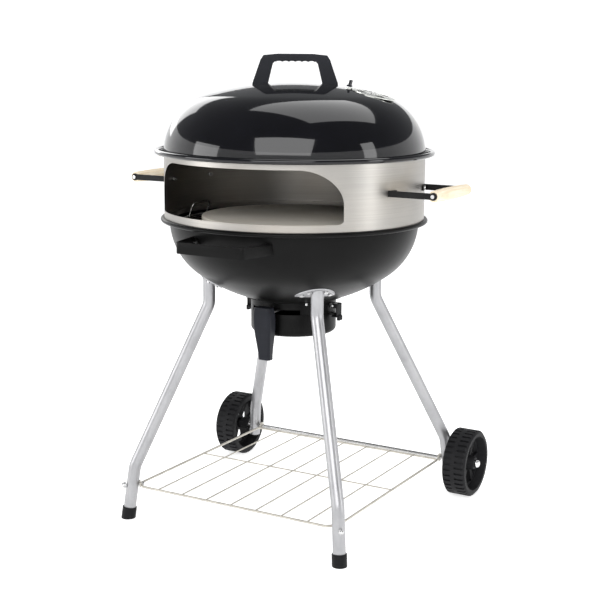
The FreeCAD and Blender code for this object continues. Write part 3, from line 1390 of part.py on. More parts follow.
def make_grip(side, way, z):
    """A turned wooden grip, a little fatter in the middle, drawn along its own Z."""
    half = D.arm_spread - D.weld_gap
    radius, end = D.grip_radius, D.grip_radius * 0.86
    bulge = (half * half + (radius - end) * (radius - end)) / ((radius - end) * 2)
    body = revolved("grip_body_" + side, [
        (0, -half), (end, -half, 1, radius - bulge, 0, bulge), (end, half), (0, half),
    ])
    holes = [upright(f"grip_hole_{side}_{i}", D.bolt_radius + 0.03, 14.2, z=low)
             for i, low in enumerate((-half - 1, half - 13.2))]
    turned_grip = cut("grip_bored_" + side, body, fuse("grip_holes_" + side, holes))
    placement = Placement(at(float(D.arm_reach) * way, 0, z), Rotation(Vector(1, 0, 0), 90))
    node(turned_grip, "wood_grip_" + side, placement)


# ---- lid -----------------------------------------------------------------------------------

def lid_placement():
    return turned(D.lid_turn)


def make_lid():
    wall, bead, lip = D.sheet_wall, D.lid_bead, D.lid_lip_radius
    side = lid_base + D.lid_side_top
    crown = lid_base + D.lid_height
    outer_r, outer_z = lid_dome.meeting(0)
    inner_r, inner_z = lid_dome.meeting(wall)
    inward = D.lid_radius - D.lid_knuckle
    notch = root(bead * wall * 2 - wall * wall)
    skirt = D.ring_radius - D.ring_wall * 2 - 1.2
    shell = revolved("lid_shell", [
        (0, crown, -1, 0, lid_dome.centre, lid_dome.crown_radius),
        (outer_r, outer_z, -1, inward, side, D.lid_knuckle),
        (D.lid_radius, side),
        (D.lid_radius, lid_base + wall),
        (lip - bead - notch, lid_base + wall, -1, lip - bead, lid_base + bead, bead),
        (lip - bead, lid_base),
        (skirt, lid_base),
        (skirt, lid_base - D.lid_skirt),
        (skirt - wall, lid_base - D.lid_skirt),
        (skirt - wall, lid_base + wall),
        (D.lid_radius - wall, lid_base + wall),
        (D.lid_radius - wall, side, 1, inward, side, D.lid_knuckle - wall),
        (inner_r, inner_z, 1, 0, lid_dome.centre, lid_dome.crown_radius - wall),
        (0, crown - wall),
    ])
    holes = []
    for number, place in enumerate(handle_bolt_places()):
        holes.append(drill(f"handle_hole_{number}", place, Vector(0, 0, 1), D.bolt_radius + D.bolt_clearance, 30))
    holes += vent_holes("lid_vent", D.damper_hole)
    node(cut("lid_drilled", shell, fuse("lid_holes", holes)), "lid", lid_placement())


def damper_placement():
    """Puts the damper's own Z through the lid's sphere centre and the damper's middle."""
    tilt = math.degrees(math.asin(float(D.damper_reach) / float(lid_dome.crown_radius)))
    lean = Rotation(Vector(0, 1, 0), tilt)
    swing = Rotation(Vector(0, 0, 1), float(D.damper_turn))
    return Placement(at(0, 0, lid_dome.centre), swing * lean)


def vent_holes(name, radius):
    """Cutters for four vent holes and the rivet's hole, in the lid's own frame."""
    cutters = []
    reach = float(lid_dome.crown_radius) - 15
    for number in range(4):
        spot = polar(D.damper_pitch, 45 + 90 * number, reach)
        cutters.append(cylinder(f"{name}_{number}", radius, 30, Placement(spot, Rotation())))
    cutters.append(cylinder(f"{name}_rivet", D.bolt_radius + D.bolt_clearance, 30,
                            Placement(at(0, 0, reach), Rotation())))
    for cutter in cutters:
        cutter.Placement = damper_placement() * cutter.Placement
    return cutters


def make_damper():
    """A dished disc on a rivet with a bent tab, its holes in step with the lid's."""
    gap, thick = D.seat_gap, Size(1.2, "1.2")
    low = lid_dome.crown_radius + gap
    shell = cut("damper_shell", sphere("damper_outer", low + thick, 0), sphere("damper_inner", low, 0))
    disc = common("damper_disc", shell, upright("damper_round", D.damper_radius, 80, z=lid_dome.crown_radius - 40))
    reach = float(lid_dome.crown_radius) - 15
    cutters = [upright(f"damper_hole_{i}", D.damper_hole, 40,
                       *[Size(v, repr(v)) for v in polar(D.damper_pitch, 45 + 90 * i, reach)]) for i in range(4)]
    cutters.append(upright("damper_pivot_hole", D.bolt_radius + 0.08, 40, z=reach))
    tab_zone = box("damper_tab_zone", (-D.damper_radius - 10, -6, lid_dome.crown_radius - 40), 14, 12, 80)
    tab = common("damper_tab", cut("damper_tab_shell", sphere("damper_tab_outer", low + thick, 0),
                                   sphere("damper_tab_inner", low, 0)), tab_zone)
    blank = fuse("damper_blank", [disc, tab])
    frame = lid_placement() * damper_placement()
    node(cut("damper_cut", blank, fuse("damper_cuts", cutters)), "lid_damper", frame)
    level = float(low) + float(thick)
    foot = box("damper_knob_foot", (-D.damper_radius - 10, -7, level - 0.4), 9, 14, 3.0)
    blade = box("damper_knob_blade", (-D.damper_radius - 7, -7, level), 4, 14, 13)
    knob = cut("damper_knob_trim", fuse("damper_knob_joined", [foot, blade]),
               sphere("damper_knob_seat", low + thick + 0.02, 0))
    node(knob, "damper_knob", frame)
    head = upright("rivet_head", D.bolt_head + 1, 2.4, z=low + thick + 0.1)
    stem = upright("rivet_stem", D.bolt_radius, 12, z=low + thick + 0.2 - 12)
    tail = upright("rivet_tail", D.bolt_head, 2.4, z=lid_dome.crown_radius - D.sheet_wall - 2.8)
    node(fuse("rivet_joined", [head, stem, tail]), "vent_rivet", frame)


def handle_bolt_places():
    """The lid handle's two screws, in the lid's own frame."""
    reach = (float(D.handle_foot) + float(D.handle_reach)) / 2
    return [at(way * reach, 0, lid_dome.height_at(reach)) for way in (-1, 1)]


def make_lid_handle():
    """A moulded bow whose feet follow the lid's crown, with finger grooves under its bar."""
    crown = lid_base + D.lid_height
    top = crown + D.handle_height
    base = crown - 20
    foot, shoulder, gap, inner = D.handle_foot, D.handle_shoulder, D.handle_reach, D.handle_inner
    under = top - D.handle_grip
    nick, fall, slope = 4.0, 12.0, 3.0
    corner = shoulder - fall * 0.5
    brow = shoulder * 0.5
    body = padded("handle_bow", [
        (-foot, base), (-gap - 1, base), (-gap, crown), (-inner, under - nick), (-inner + nick, under),
        (inner - nick, under), (inner, under - nick), (gap, crown), (gap + 1, base), (foot, base),
        (foot - 2, crown), (shoulder, top - fall), (corner, top - slope), (brow, top),
        (-brow, top), (-corner, top - slope), (-shoulder, top - fall), (-foot + 2, crown),
    ], "XZ_Plane", D.handle_depth)
    doc.recompute()
    pad = body.Tip
    edges = handle_edges(body)
    fillet = body.newObject("PartDesign::Fillet", "handle_round")
    fillet.Base = (pad, edges)
    fillet.Radius = 3.0
    body.Tip = fillet
    seat = sphere("handle_seat", lid_dome.crown_radius + D.weld_gap, lid_dome.centre)
    cutters = [seat]
    for number, place in enumerate(handle_bolt_places()):
        cutters.append(cylinder(f"handle_bore_{number}", D.bolt_radius + 0.05, 30, Placement(place - at(0, 0, 8), Rotation())))
    count = 6
    for number in range(count):
        x = float(inner) * (2 * (number + 0.5) / count - 1) * 0.86
        lie = along(at(x, -40, float(under) - 11.0), Vector(0, 1, 0))
        cutters.append(cylinder(f"finger_{number}", 12.5, 80, lie))
    node(cut("handle_cut", body, fuse("handle_cuts", cutters)), "lid_handle", lid_placement())
    screws, washers = [], []
    for number, place in enumerate(handle_bolt_places()):
        under_lid = place - at(0, 0, float(D.sheet_wall) * 1.3 + 2.0)
        washer = cylinder(f"handle_washer_{number}", 8, 1.2, Placement(under_lid, Rotation()))
        hole = drill(f"handle_washer_hole_{number}", under_lid, Vector(0, 0, 1), D.bolt_radius + 0.1, 10)
        ring = cut(f"handle_washer_cut_{number}", washer, hole)
        washers.append(ring)
        screws.append(bolt(f"handle_screw_{number}", under_lid - at(0, 0, 0.1), Vector(0, 0, 1), 20.0))
    group("lid_handle_screws", screws).Placement = lid_placement()
    group("lid_handle_washers", washers).Placement = lid_placement()


def handle_edges(body):
    """The long edges round the outside of the handle's front and back faces, above the lid."""
    crown = float(lid_base + D.lid_height)
    under = crown + float(D.handle_height - D.handle_grip)
    names = []
    for number, edge in enumerate(body.Shape.Edges, start=1):
        ends = [vertex.Point for vertex in edge.Vertexes]
        level = abs(ends[0].y - ends[-1].y) < 0.01
        outside = all(abs(point.x) > float(D.handle_reach) + 1 or point.z > under + 1 for point in ends)
        if level and outside and min(point.z for point in ends) > crown - 1:
            names.append(f"Edge{number}")
    return names


# ---- assembly ------------------------------------------------------------------------------

def make_all():
    make_bowl()
    make_tabs("grate_tabs", D.grate_height)
    make_tabs("coal_tabs", D.coal_height)
    make_pull()
    for name, angle in DIAGONALS.items():
        make_leg(name, angle, name.startswith("front"))
        make_leg_plate(name, angle)
    make_leg_fasteners()
    for name in ("front_left", "front_right"):
        make_foot_cap(name, DIAGONALS[name])
    make_leg_plugs()
    for name, way in SIDES.items():
        make_wheel(name, way)
    make_axle()
    make_rack()
    make_grate("cooking_grate", D.grate_radius, D.grate_height, D.grate_pitch, True)
    coal_radius = inner_reach(D.coal_height) - D.coal_gap
    make_grate("charcoal_grate", coal_radius, D.coal_height, D.coal_pitch, False)
    make_stone()
    make_sweeper()
    make_collar()
    make_pot()
    make_latches()
    make_ring()
    make_ring_handles()
    make_lid()
    make_damper()
    make_lid_handle()


def check_and_write():
    doc.recompute()
    for thing in doc.Objects:
        if "Invalid" in thing.State or "Error" in thing.State:
            raise RuntimeError(f"{thing.Name} failed: {thing.State}")
    for thing in nodes:
        if thing.Shape.isNull() or not thing.Shape.isValid() or not thing.Shape.Solids:
            raise RuntimeError(f"{thing.Label} has no valid solid")
    os.makedirs("parts", exist_ok=True)
    for thing in nodes:
        thing.Shape.exportStep(f"parts/{thing.Label}.step")
        print(f"{thing.Label}: {len(thing.Shape.Solids)} solid(s), {thing.Shape.Volume / 1000:.2f} cm3")


make_all()
check_and_write()
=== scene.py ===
"""Looks of the kettle grill: smooth enamel shells, finishes, soft light and the camera.

Metres throughout. Every CAD node keeps its place; the lid and the bowl are shown by finer
surfaces of the same size, and every node gets a finish of its own.
"""

import json
import math

import bmesh
import bpy
import numpy as np
from mathutils import Matrix, Vector

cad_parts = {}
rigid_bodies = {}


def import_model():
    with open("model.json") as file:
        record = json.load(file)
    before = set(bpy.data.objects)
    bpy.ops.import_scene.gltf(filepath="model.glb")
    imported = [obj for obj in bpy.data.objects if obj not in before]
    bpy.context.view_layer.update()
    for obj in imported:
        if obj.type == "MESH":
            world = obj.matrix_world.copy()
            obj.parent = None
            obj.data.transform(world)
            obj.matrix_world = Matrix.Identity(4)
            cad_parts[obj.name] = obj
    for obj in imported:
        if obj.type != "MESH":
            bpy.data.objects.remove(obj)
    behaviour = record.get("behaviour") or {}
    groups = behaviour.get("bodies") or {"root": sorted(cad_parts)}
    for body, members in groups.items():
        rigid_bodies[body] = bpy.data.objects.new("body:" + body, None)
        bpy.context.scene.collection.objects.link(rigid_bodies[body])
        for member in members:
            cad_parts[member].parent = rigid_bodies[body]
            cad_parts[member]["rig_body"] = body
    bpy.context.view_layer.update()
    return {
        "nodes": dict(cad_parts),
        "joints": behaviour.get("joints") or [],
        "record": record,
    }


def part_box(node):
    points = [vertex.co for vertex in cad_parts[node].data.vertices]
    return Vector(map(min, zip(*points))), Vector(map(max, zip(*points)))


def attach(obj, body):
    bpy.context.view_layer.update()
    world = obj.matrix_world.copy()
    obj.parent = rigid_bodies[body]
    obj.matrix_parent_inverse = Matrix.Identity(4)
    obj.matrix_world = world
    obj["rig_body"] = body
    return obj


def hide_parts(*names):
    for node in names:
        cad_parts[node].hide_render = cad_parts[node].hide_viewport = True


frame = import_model()
NODES = frame["nodes"]
JOINTS = {joint["name"]: joint for joint in frame["joints"]}

SHEET_WALL = 0.0012
LID_KNUCKLE = 0.124
LID_BEAD = 0.0052
LID_SIDE = 0.2705
LID_SIDE_RISE = 0.0014
LID_SKIRT_DEPTH = 0.0065
LID_SKIRT_INSET = 0.0042
SKIRT_FIT = 0.0003
BOWL_SIDE = 0.259
BOWL_KNUCKLE = 0.135
BOWL_STRAIGHT = 0.0065
BOWL_BEAD = 0.0042
VENT_HOLE = 0.0095
VENT_PITCH = 0.027
VENT_COUNT = 4
ASH_SLOT_NEAR, ASH_SLOT_FAR = 0.028, 0.080
ASH_SLOT_HALF = math.radians(20)
ASH_SLOT_TURNS = (0.0, 120.0, 240.0)


# ---- finishes ------------------------------------------------------------------------------

class Wire:
    """A value on its way through a finish: plus and times add Math nodes."""

    def __init__(self, finish, socket):
        self.finish = finish
        self.socket = socket

    def _with(self, operation, first, second):
        return self.finish.node("ShaderNodeMath", [first, second], operation=operation)

    def __add__(self, other):
        return self._with("ADD", self, other)

    def __mul__(self, other):
        return self._with("MULTIPLY", self, other)


class Finish:
    """A node material: constants sit on the shader, patterns are wired in."""

    def __init__(self, name, **constants):
        self.material = bpy.data.materials.new(name)
        self.material.use_nodes = True
        self.tree = self.material.node_tree
        self.shader = self.tree.nodes["Principled BSDF"]
        self.coords = self.tree.nodes.new("ShaderNodeTexCoord").outputs["Object"]
        for socket, value in constants.items():
            self.shader.inputs[socket.replace("_", " ")].default_value = value

    def node(self, kind, inputs, output=0, stops=None, **settings):
        """Adds a node; inputs is a list in socket order or a dict of socket names."""
        made = self.tree.nodes.new(kind)
        for name, value in settings.items():
            setattr(made, name, value)
        if stops is not None:
            ramp = made.color_ramp
            while len(ramp.elements) < len(stops):
                ramp.elements.new(0.5)
            for element, (place, colour) in zip(ramp.elements, stops):
                element.position = place
                element.color = (*colour, 1.0) if len(colour) == 3 else colour
        pairs = inputs.items() if isinstance(inputs, dict) else enumerate(inputs)
        for key, value in pairs:
            if isinstance(value, Wire):
                self.tree.links.new(value.socket, made.inputs[key])
            elif isinstance(value, bpy.types.NodeSocket):
                self.tree.links.new(value, made.inputs[key])
            else:
                made.inputs[key].default_value = value
        return Wire(self, made.outputs[output])

    def placed(self, scale=(1, 1, 1), shift=(0, 0, 0), turn=(0, 0, 0)):
        """Object coordinates after a shift, a turn and a stretch."""
        moved = self.node("ShaderNodeMapping", {"Vector": self.coords, "Location": shift})
        return self.node("ShaderNodeMapping", {"Vector": moved, "Rotation": turn, "Scale": scale})

    def noise(self, scale, detail=3.0, roughness=0.55, stretch=(1, 1, 1), shift=(0, 0, 0), warp=0.0):
        """Cloudy noise from 0 to 1, stretched along an axis where one is made smaller."""
        return self.node("ShaderNodeTexNoise", {
            "Vector": self.placed(stretch, shift), "Scale": scale, "Detail": detail,
            "Roughness": roughness, "Distortion": warp,
        })

    def specks(self, scale, stretch=(1, 1, 1)):
        """Distance to the nearest of many scattered points."""
        return self.node("ShaderNodeTexVoronoi", {"Vector": self.placed(stretch), "Scale": scale})

    def between(self, mask, low, high):
        """A number that runs from low to high as the mask runs from 0 to 1."""
        return mask * (high - low) + low

    def ramp(self, mask, stops):
        return self.node("ShaderNodeValToRGB", {"Fac": mask}, stops=stops)

    def shaded(self, amount, base, over):
        """A colour darkened by another one multiplied over it."""
        inputs = {"Fac": amount, "Color1": base, "Color2": over}
        return self.node("ShaderNodeMixRGB", inputs, blend_type="MULTIPLY")

    def bump(self, height, depth, strength=1.0, before=None):
        """Tilts the surface by a height pattern of a real depth in metres."""
        inputs = {"Height": height, "Distance": depth, "Strength": strength}
        if before is not None:
            inputs["Normal"] = before
        return self.node("ShaderNodeBump", inputs)

    def wire(self, **patterns):
        """Joins patterns to the shader's sockets."""
        for socket, pattern in patterns.items():
            self.tree.links.new(pattern.socket, self.shader.inputs[socket.replace("_", " ")])
        return self.material


def lid_enamel():
    """Deep black glass enamel with a faint ripple, a dusting of haze and hand marks."""
    finish = Finish("lid_enamel", Coat_Weight=0.6, Coat_Roughness=0.02, Specular_IOR_Level=0.16)
    haze = finish.noise(9.0, 4.0, 0.6)
    smear = finish.noise(26.0, 3.0, 0.6, stretch=(1.0, 1.0, 0.3))
    ripple = finish.noise(38.0, 1.0, 0.4)
    peel = finish.noise(420.0, 1.0, 0.5)
    colour = finish.ramp(haze, [(0.30, (0.001, 0.001, 0.002)), (0.75, (0.003, 0.003, 0.005))])
    rough = finish.between(haze * smear, 0.05, 0.22)
    waves = finish.bump(ripple, 0.0003, 0.35)
    return finish.wire(Base_Color=colour, Roughness=rough, Normal=finish.bump(peel, 0.00002, 0.25, waves))


def bowl_enamel():
    """Black enamel, duller than the lid, with pinholes and a bloom of old heat."""
    finish = Finish("bowl_enamel", Coat_Weight=0.0, Specular_IOR_Level=0.11)
    bloom = finish.noise(7.0, 5.0, 0.62, warp=0.4)
    grit = finish.noise(300.0, 2.0, 0.6)
    pins = finish.specks(520.0)
    colour = finish.ramp(bloom, [(0.30, (0.002, 0.002, 0.002)), (0.72, (0.004, 0.004, 0.004))])
    rough = finish.between(bloom, 0.22, 0.40) + grit * 0.06
    fine = finish.bump(grit, 0.00005, 0.35)
    return finish.wire(Base_Color=colour, Roughness=rough, Normal=finish.bump(pins, 0.00003, 0.25, fine))


def arm_enamel():
    """Satin black paint on a pressed strap, a little rubbed along its raised places."""
    finish = Finish("arm_enamel", Specular_IOR_Level=0.18)
    rubbed = finish.noise(48.0, 4.0, 0.6)
    grain = finish.noise(600.0, 2.0, 0.6)
    colour = finish.ramp(rubbed, [(0.35, (0.005, 0.005, 0.005)), (0.80, (0.014, 0.014, 0.014))])
    rough = finish.between(rubbed, 0.30, 0.48)
    return finish.wire(Base_Color=colour, Roughness=rough, Normal=finish.bump(grain, 0.00004, 0.35))


def brushed_ring():
    """Stainless sheet brushed round its length, warmer where heat has tinted it."""
    finish = Finish("ring_steel", Metallic=1.0)
    streaks = finish.noise(1.0, 4.0, 0.65, stretch=(5.0, 5.0, 900.0))
    bands = finish.noise(1.0, 2.0, 0.5, stretch=(1.5, 1.5, 150.0))
    tint = finish.noise(5.0, 3.0, 0.5)
    warm = finish.ramp(tint, [
        (0.30, (0.40, 0.39, 0.37)), (0.55, (0.46, 0.44, 0.41)), (0.80, (0.43, 0.39, 0.34)),
    ])
    shade = finish.ramp(streaks, [(0.25, (0.78, 0.78, 0.78)), (0.75, (1.0, 1.0, 1.0))])
    colour = finish.shaded(1.0, warm, shade)
    rough = finish.between(streaks, 0.24, 0.40) + bands * 0.08
    return finish.wire(Base_Color=colour, Roughness=rough, Normal=finish.bump(streaks, 0.00004, 0.5))


def silver_tube():
    """Satin silver tube: drawn streaks along it, dull spots and faint scuffs."""
    finish = Finish("leg_silver", Metallic=0.85)
    drawn = finish.noise(1.0, 3.0, 0.6, stretch=(420.0, 420.0, 14.0))
    dull = finish.noise(22.0, 4.0, 0.6)
    scuffs = finish.noise(1.0, 2.0, 0.7, stretch=(160.0, 160.0, 60.0), warp=0.8)
    colour = finish.ramp(dull, [
        (0.25, (0.33, 0.33, 0.34)), (0.60, (0.41, 0.41, 0.42)), (0.85, (0.37, 0.37, 0.37)),
    ])
    rough = finish.between(dull, 0.26, 0.42) + drawn * 0.05
    return finish.wire(Base_Color=colour, Roughness=rough, Normal=finish.bump(drawn + scuffs, 0.00004, 0.3))


def bright_wire(name, shade, low, high, metal=1.0):
    """Plated wire with die marks along it and dull specks of wear."""
    finish = Finish(name, Metallic=metal)
    marks = finish.noise(380.0, 3.0, 0.6, stretch=(1.0, 0.15, 1.0))
    wear = finish.noise(45.0, 4.0, 0.65)
    worn = tuple(value * 0.82 for value in shade)
    colour = finish.ramp(wear, [(0.35, worn), (0.55, shade)])
    rough = finish.between(wear, high, low)
    return finish.wire(Base_Color=colour, Roughness=rough, Normal=finish.bump(marks, 0.00003, 0.35))


def moulded_plastic(name, shade, low, high, grain):
    """Moulded plastic with a fine spark grain, rubbed smoother in patches and dusty in others."""
    finish = Finish(name, Specular_IOR_Level=0.16)
    spark = finish.noise(grain, 2.0, 0.7)
    rubbed = finish.noise(30.0, 3.0, 0.6)
    dust = finish.noise(11.0, 4.0, 0.65)
    dusty = tuple(value * 1.5 + 0.001 for value in shade)
    colour = finish.ramp(dust, [(0.45, shade), (0.85, dusty)])
    rough = finish.between(rubbed, low, high)
    return finish.wire(Base_Color=colour, Roughness=rough, Normal=finish.bump(spark, 0.00008, 0.4))


def turned_wood():
    """Pale hardwood: growth rings stretched along the grip, pores and a thin oil finish."""
    finish = Finish("turned_wood", Specular_IOR_Level=0.35)
    bend = finish.noise(14.0, 2.0, 0.5, stretch=(1.0, 0.25, 1.0))
    rings = finish.node("ShaderNodeTexWave", {
        "Vector": finish.placed((1.0, 0.05, 0.8), (0.013, 0.0, -0.687)), "Scale": 62.0, "Distortion": 5.0,
        "Detail": 3.0, "Detail Scale": 1.6,
    }, wave_type="RINGS", rings_direction="Y")
    pores = finish.noise(1.0, 3.0, 0.6, stretch=(1500.0, 45.0, 1500.0))
    figure = rings * 0.55 + bend * 0.45
    colour = finish.ramp(figure, [
        (0.15, (0.78, 0.64, 0.45)), (0.45, (0.86, 0.75, 0.57)),
        (0.70, (0.90, 0.81, 0.65)), (0.95, (0.81, 0.68, 0.49)),
    ])
    flecks = finish.ramp(pores, [(0.30, (0.70, 0.62, 0.52)), (0.48, (1.0, 1.0, 1.0))])
    shaded = finish.shaded(0.8, colour, flecks)
    rough = finish.between(pores, 0.58, 0.42)
    return finish.wire(Base_Color=shaded, Roughness=rough, Normal=finish.bump(pores, 0.00008, 0.4))


def baked_stone():
    """Pale fired stone: sandy grain, darker grog specks and faint toasted clouds."""
    finish = Finish("baked_stone", Specular_IOR_Level=0.25)
    sand = finish.noise(900.0, 3.0, 0.7)
    grog = finish.specks(330.0)
    toast = finish.noise(8.0, 4.0, 0.6, warp=0.5)
    body = finish.ramp(toast, [
        (0.30, (0.78, 0.72, 0.62)), (0.62, (0.84, 0.79, 0.70)), (0.88, (0.70, 0.62, 0.50)),
    ])
    dots = finish.ramp(grog, [(0.05, (0.60, 0.56, 0.50)), (0.16, (1.0, 1.0, 1.0))])
    colour = finish.shaded(0.8, body, dots)
    rough = finish.between(sand, 0.80, 0.95)
    return finish.wire(Base_Color=colour, Roughness=rough, Normal=finish.bump(sand, 0.00025, 0.5))


def spun_metal(name, shade, low, high):
    """Sheet aluminium with fine turning marks and a few dull patches."""
    finish = Finish(name, Metallic=1.0)
    marks = finish.noise(1.0, 3.0, 0.6, stretch=(900.0, 30.0, 900.0))
    patches = finish.noise(32.0, 4.0, 0.6)
    dull = tuple(value * 0.84 for value in shade)
    colour = finish.ramp(patches, [(0.35, dull), (0.60, shade)])
    rough = finish.between(patches, low, high)
    return finish.wire(Base_Color=colour, Roughness=rough, Normal=finish.bump(marks, 0.00004, 0.4))


def floor_paint():
    """A plain pale floor and backdrop with the faintest mottle, lit evenly from within."""
    finish = Finish("floor_paint", Specular_IOR_Level=0.05, Emission_Strength=0.72)
    mottle = finish.noise(2.0, 3.0, 0.5)
    colour = finish.ramp(mottle, [(0.3, (0.88, 0.88, 0.88)), (0.7, (0.90, 0.90, 0.90))])
    rough = finish.between(mottle, 0.8, 0.9)
    return finish.wire(Base_Color=colour, Emission_Color=colour, Roughness=rough)


BLACK = (0.005, 0.005, 0.006)
FINISHES = {
    "bowl_enamel": bowl_enamel(),
    "lid_enamel": lid_enamel(),
    "plated_steel": spun_metal("plated_steel", (0.50, 0.50, 0.50), 0.30, 0.50),
    "leg_silver": silver_tube(),
    "fastener_steel": bright_wire("fastener_steel", (0.66, 0.66, 0.66), 0.18, 0.34),
    "cap_plastic": moulded_plastic("cap_plastic", BLACK, 0.40, 0.60, 700.0),
    "bright_cap": bright_wire("bright_cap", (0.80, 0.80, 0.80), 0.10, 0.22),
    "rack_wire": bright_wire("rack_wire", (0.58, 0.55, 0.49), 0.34, 0.50, 0.35),
    "wheel_plastic": moulded_plastic("wheel_plastic", (0.008, 0.008, 0.009), 0.46, 0.66, 520.0),
    "grate_wire": bright_wire("grate_wire", (0.70, 0.70, 0.69), 0.16, 0.32),
    "baked_stone": baked_stone(),
    "ring_steel": brushed_ring(),
    "arm_enamel": arm_enamel(),
    "turned_wood": turned_wood(),
    "handle_plastic": moulded_plastic("handle_plastic", (0.009, 0.010, 0.014), 0.30, 0.46, 650.0),
    # the damper's faint yellow-green tint is a painted reflection; its pale silver is the metal's own colour
    "damper_metal": spun_metal("damper_metal", (0.82, 0.83, 0.79), 0.16, 0.30),
    "sweeper_metal": spun_metal("sweeper_metal", (0.55, 0.55, 0.55), 0.30, 0.48),
}


def finish_of(node):
    """The finish that a CAD node's material slot asks for."""
    slots = {entry["node"]: entry["material_slot"] for entry in frame["record"]["subparts"]}
    return slots[node]


# ---- shapes --------------------------------------------------------------------------------

def arc(centre, radius, start, end, count):
    """Points of an arc: centre plus radius times the cosine and sine of evenly spaced angles."""
    angles = np.radians(np.linspace(start, end, count))
    return np.column_stack([centre[0] + radius * np.cos(angles), centre[1] + radius * np.sin(angles)])


def turned_shell(name, profile, steps=288):
    """A closed profile carried round the vertical axis.

    Point (i, j) is (radius_j cos a_i, radius_j sin a_i, height_j), with the angles a_i spaced
    evenly round a full turn; each face joins two neighbouring angles and two profile points.
    """
    profile = np.asarray(profile, float)
    angles = np.linspace(0.0, 2.0 * math.pi, steps, endpoint=False)
    radius, height = profile[:, 0], profile[:, 1]
    spots = np.stack([
        np.outer(np.cos(angles), radius), np.outer(np.sin(angles), radius), np.tile(height, (steps, 1)),
    ], axis=-1).reshape(-1, 3)
    count = len(profile)
    turn, along = np.meshgrid(np.arange(steps), np.arange(count - 1), indexing="ij")
    after = (turn + 1) % steps
    faces = np.stack([
        turn * count + along, after * count + along, after * count + along + 1, turn * count + along + 1,
    ], axis=-1).reshape(-1, 4)
    mesh = bpy.data.meshes.new(name)
    mesh.from_pydata(spots.tolist(), [], faces.tolist())
    tidy = bmesh.new()
    tidy.from_mesh(mesh)
    bmesh.ops.remove_doubles(tidy, verts=tidy.verts, dist=1e-6)
    bmesh.ops.recalc_face_normals(tidy, faces=tidy.faces)
    tidy.to_mesh(mesh)
    tidy.free()
    piece = bpy.data.objects.new(name, mesh)
    bpy.context.scene.collection.objects.link(piece)
    return piece


def prism(outline, low, high, place):
    """A closed prism over an outline in its own plane, from low to high, set down by a placement."""
    solid = bmesh.new()
    floor = [solid.verts.new(place @ Vector((x, y, low))) for x, y in outline]
    roof = [solid.verts.new(place @ Vector((x, y, high))) for x, y in outline]
    solid.faces.new(list(reversed(floor)))
    solid.faces.new(roof)
    for here, there in zip(range(len(outline)), list(range(1, len(outline))) + [0]):
        solid.faces.new([floor[here], floor[there], roof[there], roof[here]])
    mesh = bpy.data.meshes.new("cutter")
    solid.to_mesh(mesh)
    solid.free()
    cutter = bpy.data.objects.new("cutter", mesh)
    bpy.context.scene.collection.objects.link(cutter)
    return cutter


def drilled(piece, cutters):
    """Cuts the piece with each cutter and keeps the result in its mesh."""
    for cutter in cutters:
        step = piece.modifiers.new("cut", "BOOLEAN")
        step.operation = "DIFFERENCE"
        step.solver = "EXACT"
        step.object = cutter
    bpy.context.view_layer.update()
    done = bpy.data.meshes.new_from_object(piece.evaluated_get(bpy.context.evaluated_depsgraph_get()))
    piece.modifiers.clear()
    piece.data = done
    for cutter in cutters:
        bpy.data.objects.remove(cutter)
    return piece


def show_as(piece, node, sharp=30.0):
    """Gives a piece its node's finish and place among the bodies, and smooth shading."""
    mesh = piece.data
    mesh.polygons.foreach_set("use_smooth", np.ones(len(mesh.polygons), bool))
    mesh.set_sharp_from_angle(angle=math.radians(sharp))
    mesh.materials.clear()
    mesh.materials.append(FINISHES[finish_of(node)])
    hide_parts(node)
    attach(piece, NODES[node]["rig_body"])
    return piece


def dome_profile(side, knuckle, side_z, crown_z, wall):
    """Bend and crown of a dished shell, from its side wall to the axis, one wall inside.

    The crown's radius follows from the two arcs meeting without a kink: with inward = side -
    knuckle and rise = crown_z - side_z, it is (inward^2 + rise^2 - knuckle^2) / 2 (rise - knuckle).
    """
    way = 1.0 if crown_z > side_z else -1.0
    inward, rise = side - knuckle, abs(crown_z - side_z)
    crown = (inward ** 2 + rise ** 2 - knuckle ** 2) / (2.0 * (rise - knuckle))
    centre = crown_z - way * crown
    meet = math.degrees(math.asin(inward / (crown - knuckle)))
    bend = arc((inward, side_z), knuckle - wall, 0.0, way * (90.0 - meet), 28)
    cap = arc((0.0, centre), crown - wall, way * (90.0 - meet), way * 90.0, 48)
    cap[-1, 0] = 0.0
    return np.vstack([bend, cap[1:]]), crown, centre


def vent_cutters():
    """Four round holes about the damper's pivot, along its axis."""
    pivot = Vector(JOINTS["damper_turn"]["pos_m"])
    axis = Vector(JOINTS["damper_turn"]["axis"])
    swing = math.atan2(axis.y, axis.x)
    tilt = math.atan2(math.hypot(axis.x, axis.y), axis.z)
    place = Matrix.Translation(pivot) @ Matrix.Rotation(swing, 4, "Z") @ Matrix.Rotation(tilt, 4, "Y")
    cutters = []
    for number in range(VENT_COUNT):
        turn = math.radians(45) + 2.0 * math.pi * number / VENT_COUNT
        middle = (VENT_PITCH * math.cos(turn), VENT_PITCH * math.sin(turn))
        cutters.append(prism(arc(middle, VENT_HOLE, 0.0, 360.0, 41)[:-1], -0.02, 0.012, place))
    return cutters


